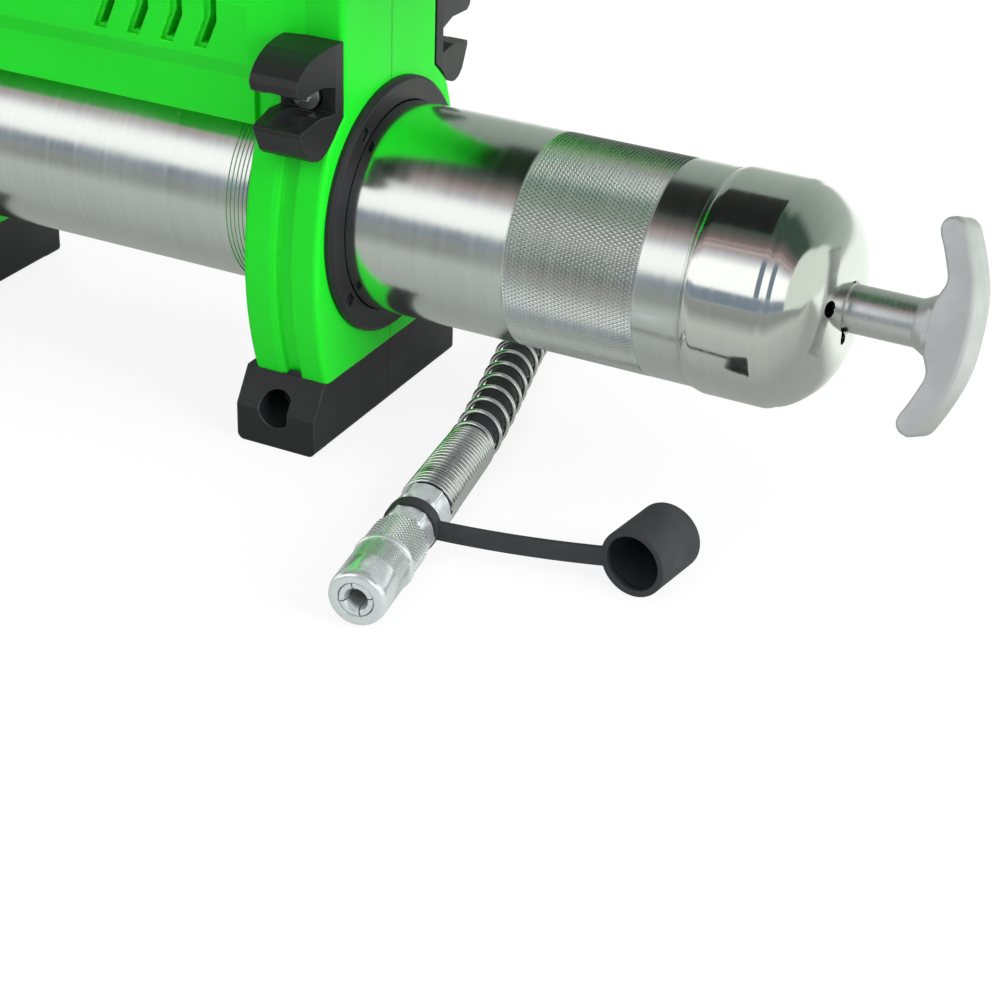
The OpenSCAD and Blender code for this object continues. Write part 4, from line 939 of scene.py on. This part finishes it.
def ramp_stops(nodes, levels, low, high, top, tint=(1, 1, 1)):
    """A colour ramp through levels of (place, grey) or (place, red, green, blue), as shares of top."""
    ramp = nodes.new("ShaderNodeValToRGB")
    stops = ramp.color_ramp.elements
    while len(stops) > 1:
        stops.remove(stops[-1])
    for index, (place, *level) in enumerate(levels):
        at = (place - low) / (high - low)
        stop = stops[0] if index == 0 else stops.new(at)
        stop.position = at
        rgb = level if len(level) == 3 else [level[0] * t for t in tint]
        stop.color = tuple(c / top for c in rgb) + (1,)
    return ramp


def floor_material():
    """Pale to the camera; in gloss, a glow of painted shade under the barrel and painted light beyond it."""
    material, nodes, links = blank_material("floor")
    path = nodes.new("ShaderNodeLightPath")
    diffuse = nodes.new("ShaderNodeBsdfDiffuse")
    diffuse.inputs["Color"].default_value = (0.8, 0.8, 0.8, 1)
    white = nodes.new("ShaderNodeEmission")
    white.inputs["Color"].default_value = (1, 1, 1, 1)
    white.inputs["Strength"].default_value = 1.0
    seen = nodes.new("ShaderNodeMixShader")
    seen.inputs[0].default_value = FLOOR_WHITE
    links.new(diffuse.outputs[0], seen.inputs[1])
    links.new(white.outputs[0], seen.inputs[2])
    place = nodes.new("ShaderNodeTexCoord")
    parts = nodes.new("ShaderNodeSeparateXYZ")
    links.new(place.outputs["Object"], parts.inputs[0])
    low, high = FLOOR_PAINTED_GLOSS[0][0], FLOOR_PAINTED_GLOSS[-1][0]
    span = nodes.new("ShaderNodeMapRange")
    span.inputs["From Min"].default_value = low
    span.inputs["From Max"].default_value = high
    links.new(parts.outputs["Y"], span.inputs["Value"])
    ramp = ramp_stops(nodes, FLOOR_PAINTED_GLOSS, low, high, FLOOR_TOP, FLOOR_TINT)
    links.new(span.outputs[0], ramp.inputs[0])
    # Glossy rays see this glow of painted shade and light instead of the lit floor.
    gloss = nodes.new("ShaderNodeEmission")
    gloss.inputs["Strength"].default_value = FLOOR_TOP
    links.new(ramp.outputs[0], gloss.inputs["Color"])
    chosen = nodes.new("ShaderNodeMixShader")
    links.new(path.outputs["Is Glossy Ray"], chosen.inputs[0])
    links.new(diffuse.outputs[0], chosen.inputs[1])
    links.new(gloss.outputs[0], chosen.inputs[2])
    choose = nodes.new("ShaderNodeMixShader")
    links.new(path.outputs["Is Camera Ray"], choose.inputs[0])
    links.new(chosen.outputs[0], choose.inputs[1])
    links.new(seen.outputs[0], choose.inputs[2])
    out = nodes.new("ShaderNodeOutputMaterial")
    links.new(choose.outputs[0], out.inputs[0])
    return material


FLOOR = 6.0
stage_mesh("floor", [(-FLOOR, -FLOOR, 0), (FLOOR, -FLOOR, 0), (FLOOR, FLOOR, 0), (-FLOOR, FLOOR, 0)],
           [(0, 1, 2, 3)], floor_material())

# Colour of the painted reflections round the barrel's axis, a glow standing in for the studio's lights and
# dark parts and for the housing above: degrees up from the front's horizon, then red, green and blue
SURROUND = ((0, 0.22, 0.27, 0.33), (12, 0.24, 0.29, 0.35), (15, 1.3, 1.3, 1.27), (39, 1.3, 1.3, 1.27),
            (46, 0.72, 0.72, 0.76), (52, 0.42, 0.36, 0.36), (54, 0.4, 0.33, 0.33), (55, 0.9, 0.85, 0.8),
            (56, 0.34, 0.25, 0.25), (59, 0.3, 0.22, 0.22), (60, 0.6, 0.52, 0.5), (61, 0.25, 0.18, 0.18),
            (66, 0.16, 0.14, 0.13), (76, 0.05, 0.08, 0.065), (101, 0.05, 0.085, 0.065),
            (114, 0.25, 0.3, 0.26), (150, 0.36, 0.42, 0.37), (172, 0.44, 0.5, 0.45), (180, 0.6, 0.65, 0.6))
SURROUND_TOP = 1.3
# A painted dark reflection in the bright part of the surround, for the dark gap between the cap's highlights:
# its colour, and its reach along X and upwards in degrees
PAINTED_DARK_COLOUR, PAINTED_DARK_X, PAINTED_DARK_UP = (0.2, 0.25, 0.3), (-0.13, 0.5), (13, 50)
# The front disc's glow is a painted reflection, greenish on faces turned to +X.
END_COLOUR = (0.78, 0.85, 0.76)


def surround_material():
    material, nodes, links = blank_material("surround")

    def maths(operation, a, b=0.0):
        node = nodes.new("ShaderNodeMath")
        node.operation = operation
        for socket, value in zip(node.inputs, (a, b)):
            if isinstance(value, (int, float)):
                socket.default_value = value
            else:
                links.new(value, socket)
        return node.outputs[0]

    def between(value, a, b, soft):
        """1 between a and b, fading to 0 on both sides."""
        up = nodes.new("ShaderNodeMapRange")
        down = nodes.new("ShaderNodeMapRange")
        for node, middle, start, stop in ((up, a, 0, 1), (down, b, 1, 0)):
            links.new(value, node.inputs["Value"])
            for name, number in (("From Min", middle - soft), ("From Max", middle + soft),
                                 ("To Min", start), ("To Max", stop)):
                node.inputs[name].default_value = number
        return maths("MULTIPLY", up.outputs[0], down.outputs[0])

    place = nodes.new("ShaderNodeTexCoord")
    parts = nodes.new("ShaderNodeSeparateXYZ")
    links.new(place.outputs["Object"], parts.inputs[0])
    forwards = maths("MULTIPLY", parts.outputs["Y"], -1.0)
    angle = maths("DIVIDE", maths("ARCTAN2", parts.outputs["Z"], forwards), math.pi)
    ramp = ramp_stops(nodes, SURROUND, 0, 180, SURROUND_TOP)
    links.new(angle, ramp.inputs[0])
    # A painted dark patch in the reflections of the bright band.
    painted_dark_patch = maths("MULTIPLY", between(parts.outputs["X"], *PAINTED_DARK_X, 0.02),
                  between(angle, PAINTED_DARK_UP[0] / 180, PAINTED_DARK_UP[1] / 180, 0.012))
    mixed = nodes.new("ShaderNodeMix")
    mixed.data_type = "RGBA"
    links.new(painted_dark_patch, mixed.inputs[0])
    links.new(ramp.outputs[0], mixed.inputs[6])
    mixed.inputs[7].default_value = tuple(c / SURROUND_TOP for c in PAINTED_DARK_COLOUR) + (1,)
    # The surround glows only for reflections: painted reflections, lighting nothing.
    glow = nodes.new("ShaderNodeEmission")
    glow.inputs["Strength"].default_value = SURROUND_TOP
    links.new(mixed.outputs[2], glow.inputs["Color"])
    out = nodes.new("ShaderNodeOutputMaterial")
    links.new(glow.outputs[0], out.inputs[0])
    return material


def end_material():
    material, nodes, links = blank_material("surround_end")
    glow = nodes.new("ShaderNodeEmission")
    glow.inputs["Color"].default_value = END_COLOUR + (1,)
    out = nodes.new("ShaderNodeOutputMaterial")
    links.new(glow.outputs[0], out.inputs[0])
    return material


def only_in_gloss(obj):
    """Sets a piece of the stage round the barrel's axis, where only reflections show it."""
    obj.location = (0, 0, AXIS_H)
    obj.visible_camera = False
    obj.visible_diffuse = False
    obj.visible_shadow = False
    obj.visible_transmission = False
    obj.visible_volume_scatter = False


def surround():
    """Half a tube over the gun and a disc across its front end, glowing with painted reflections."""
    steps, radius, x0, x1 = 60, 1.1, -2.4, 1.6
    verts, faces = [], []
    for i in range(steps + 1):
        turn = math.pi * i / steps
        for x in (x0, x1):
            verts.append((x, -radius * math.cos(turn), radius * math.sin(turn)))
    for i in range(steps):
        faces.append((2 * i, 2 * i + 1, 2 * i + 3, 2 * i + 2))
    only_in_gloss(stage_mesh("surround", verts, faces, surround_material()))
    only_in_gloss(stage_mesh("surround_end", verts[1::2], [tuple(range(steps + 1))], end_material()))


surround()


def lamp(name, place, target, size, energy):
    data = bpy.data.lights.new(name, "AREA")
    data.shape = "RECTANGLE"
    data.size, data.size_y = size
    data.energy = energy
    obj = bpy.data.objects.new(name, data)
    obj.location = place
    direction = Vector(target) - Vector(place)
    obj.rotation_euler = direction.to_track_quat("-Z", "Y").to_euler()
    obj.visible_glossy = False
    bpy.context.collection.objects.link(obj)


lamp("key", (0.2, -1.5, 1.5), (0, 0, 0.08), (1.2, 1.2), 15)
lamp("fill", (1.7, -0.1, 0.8), (0, 0, 0.08), (1.2, 1.2), 46)
lamp("top", (-0.3, 0.6, 2.0), (-0.05, 0, 0.1), (1.6, 1.6), 14)


SOFT_LIGHT = 0.56


def studio_world():
    """White behind the gun and in its reflections, and a softer light on its matt faces."""
    world = bpy.data.worlds.new("studio")
    world.use_nodes = True
    nodes, links = world.node_tree.nodes, world.node_tree.links
    nodes.clear()
    path = nodes.new("ShaderNodeLightPath")
    chosen = path.outputs["Is Camera Ray"]
    for ray in ("Is Glossy Ray", "Is Transmission Ray"):
        either = nodes.new("ShaderNodeMath")
        either.operation = "MAXIMUM"
        links.new(chosen, either.inputs[0])
        links.new(path.outputs[ray], either.inputs[1])
        chosen = either.outputs[0]
    choose = nodes.new("ShaderNodeMixShader")
    links.new(chosen, choose.inputs[0])
    for socket, strength in zip(choose.inputs[1:], (SOFT_LIGHT, 1.0)):
        backdrop = nodes.new("ShaderNodeBackground")
        backdrop.inputs["Color"].default_value = (1, 1, 1, 1)
        backdrop.inputs["Strength"].default_value = strength
        links.new(backdrop.outputs[0], socket)
    out = nodes.new("ShaderNodeOutputWorld")
    links.new(choose.outputs[0], out.inputs[0])
    return world


bpy.context.scene.world = studio_world()
bpy.context.scene.view_settings.view_transform = "Standard"
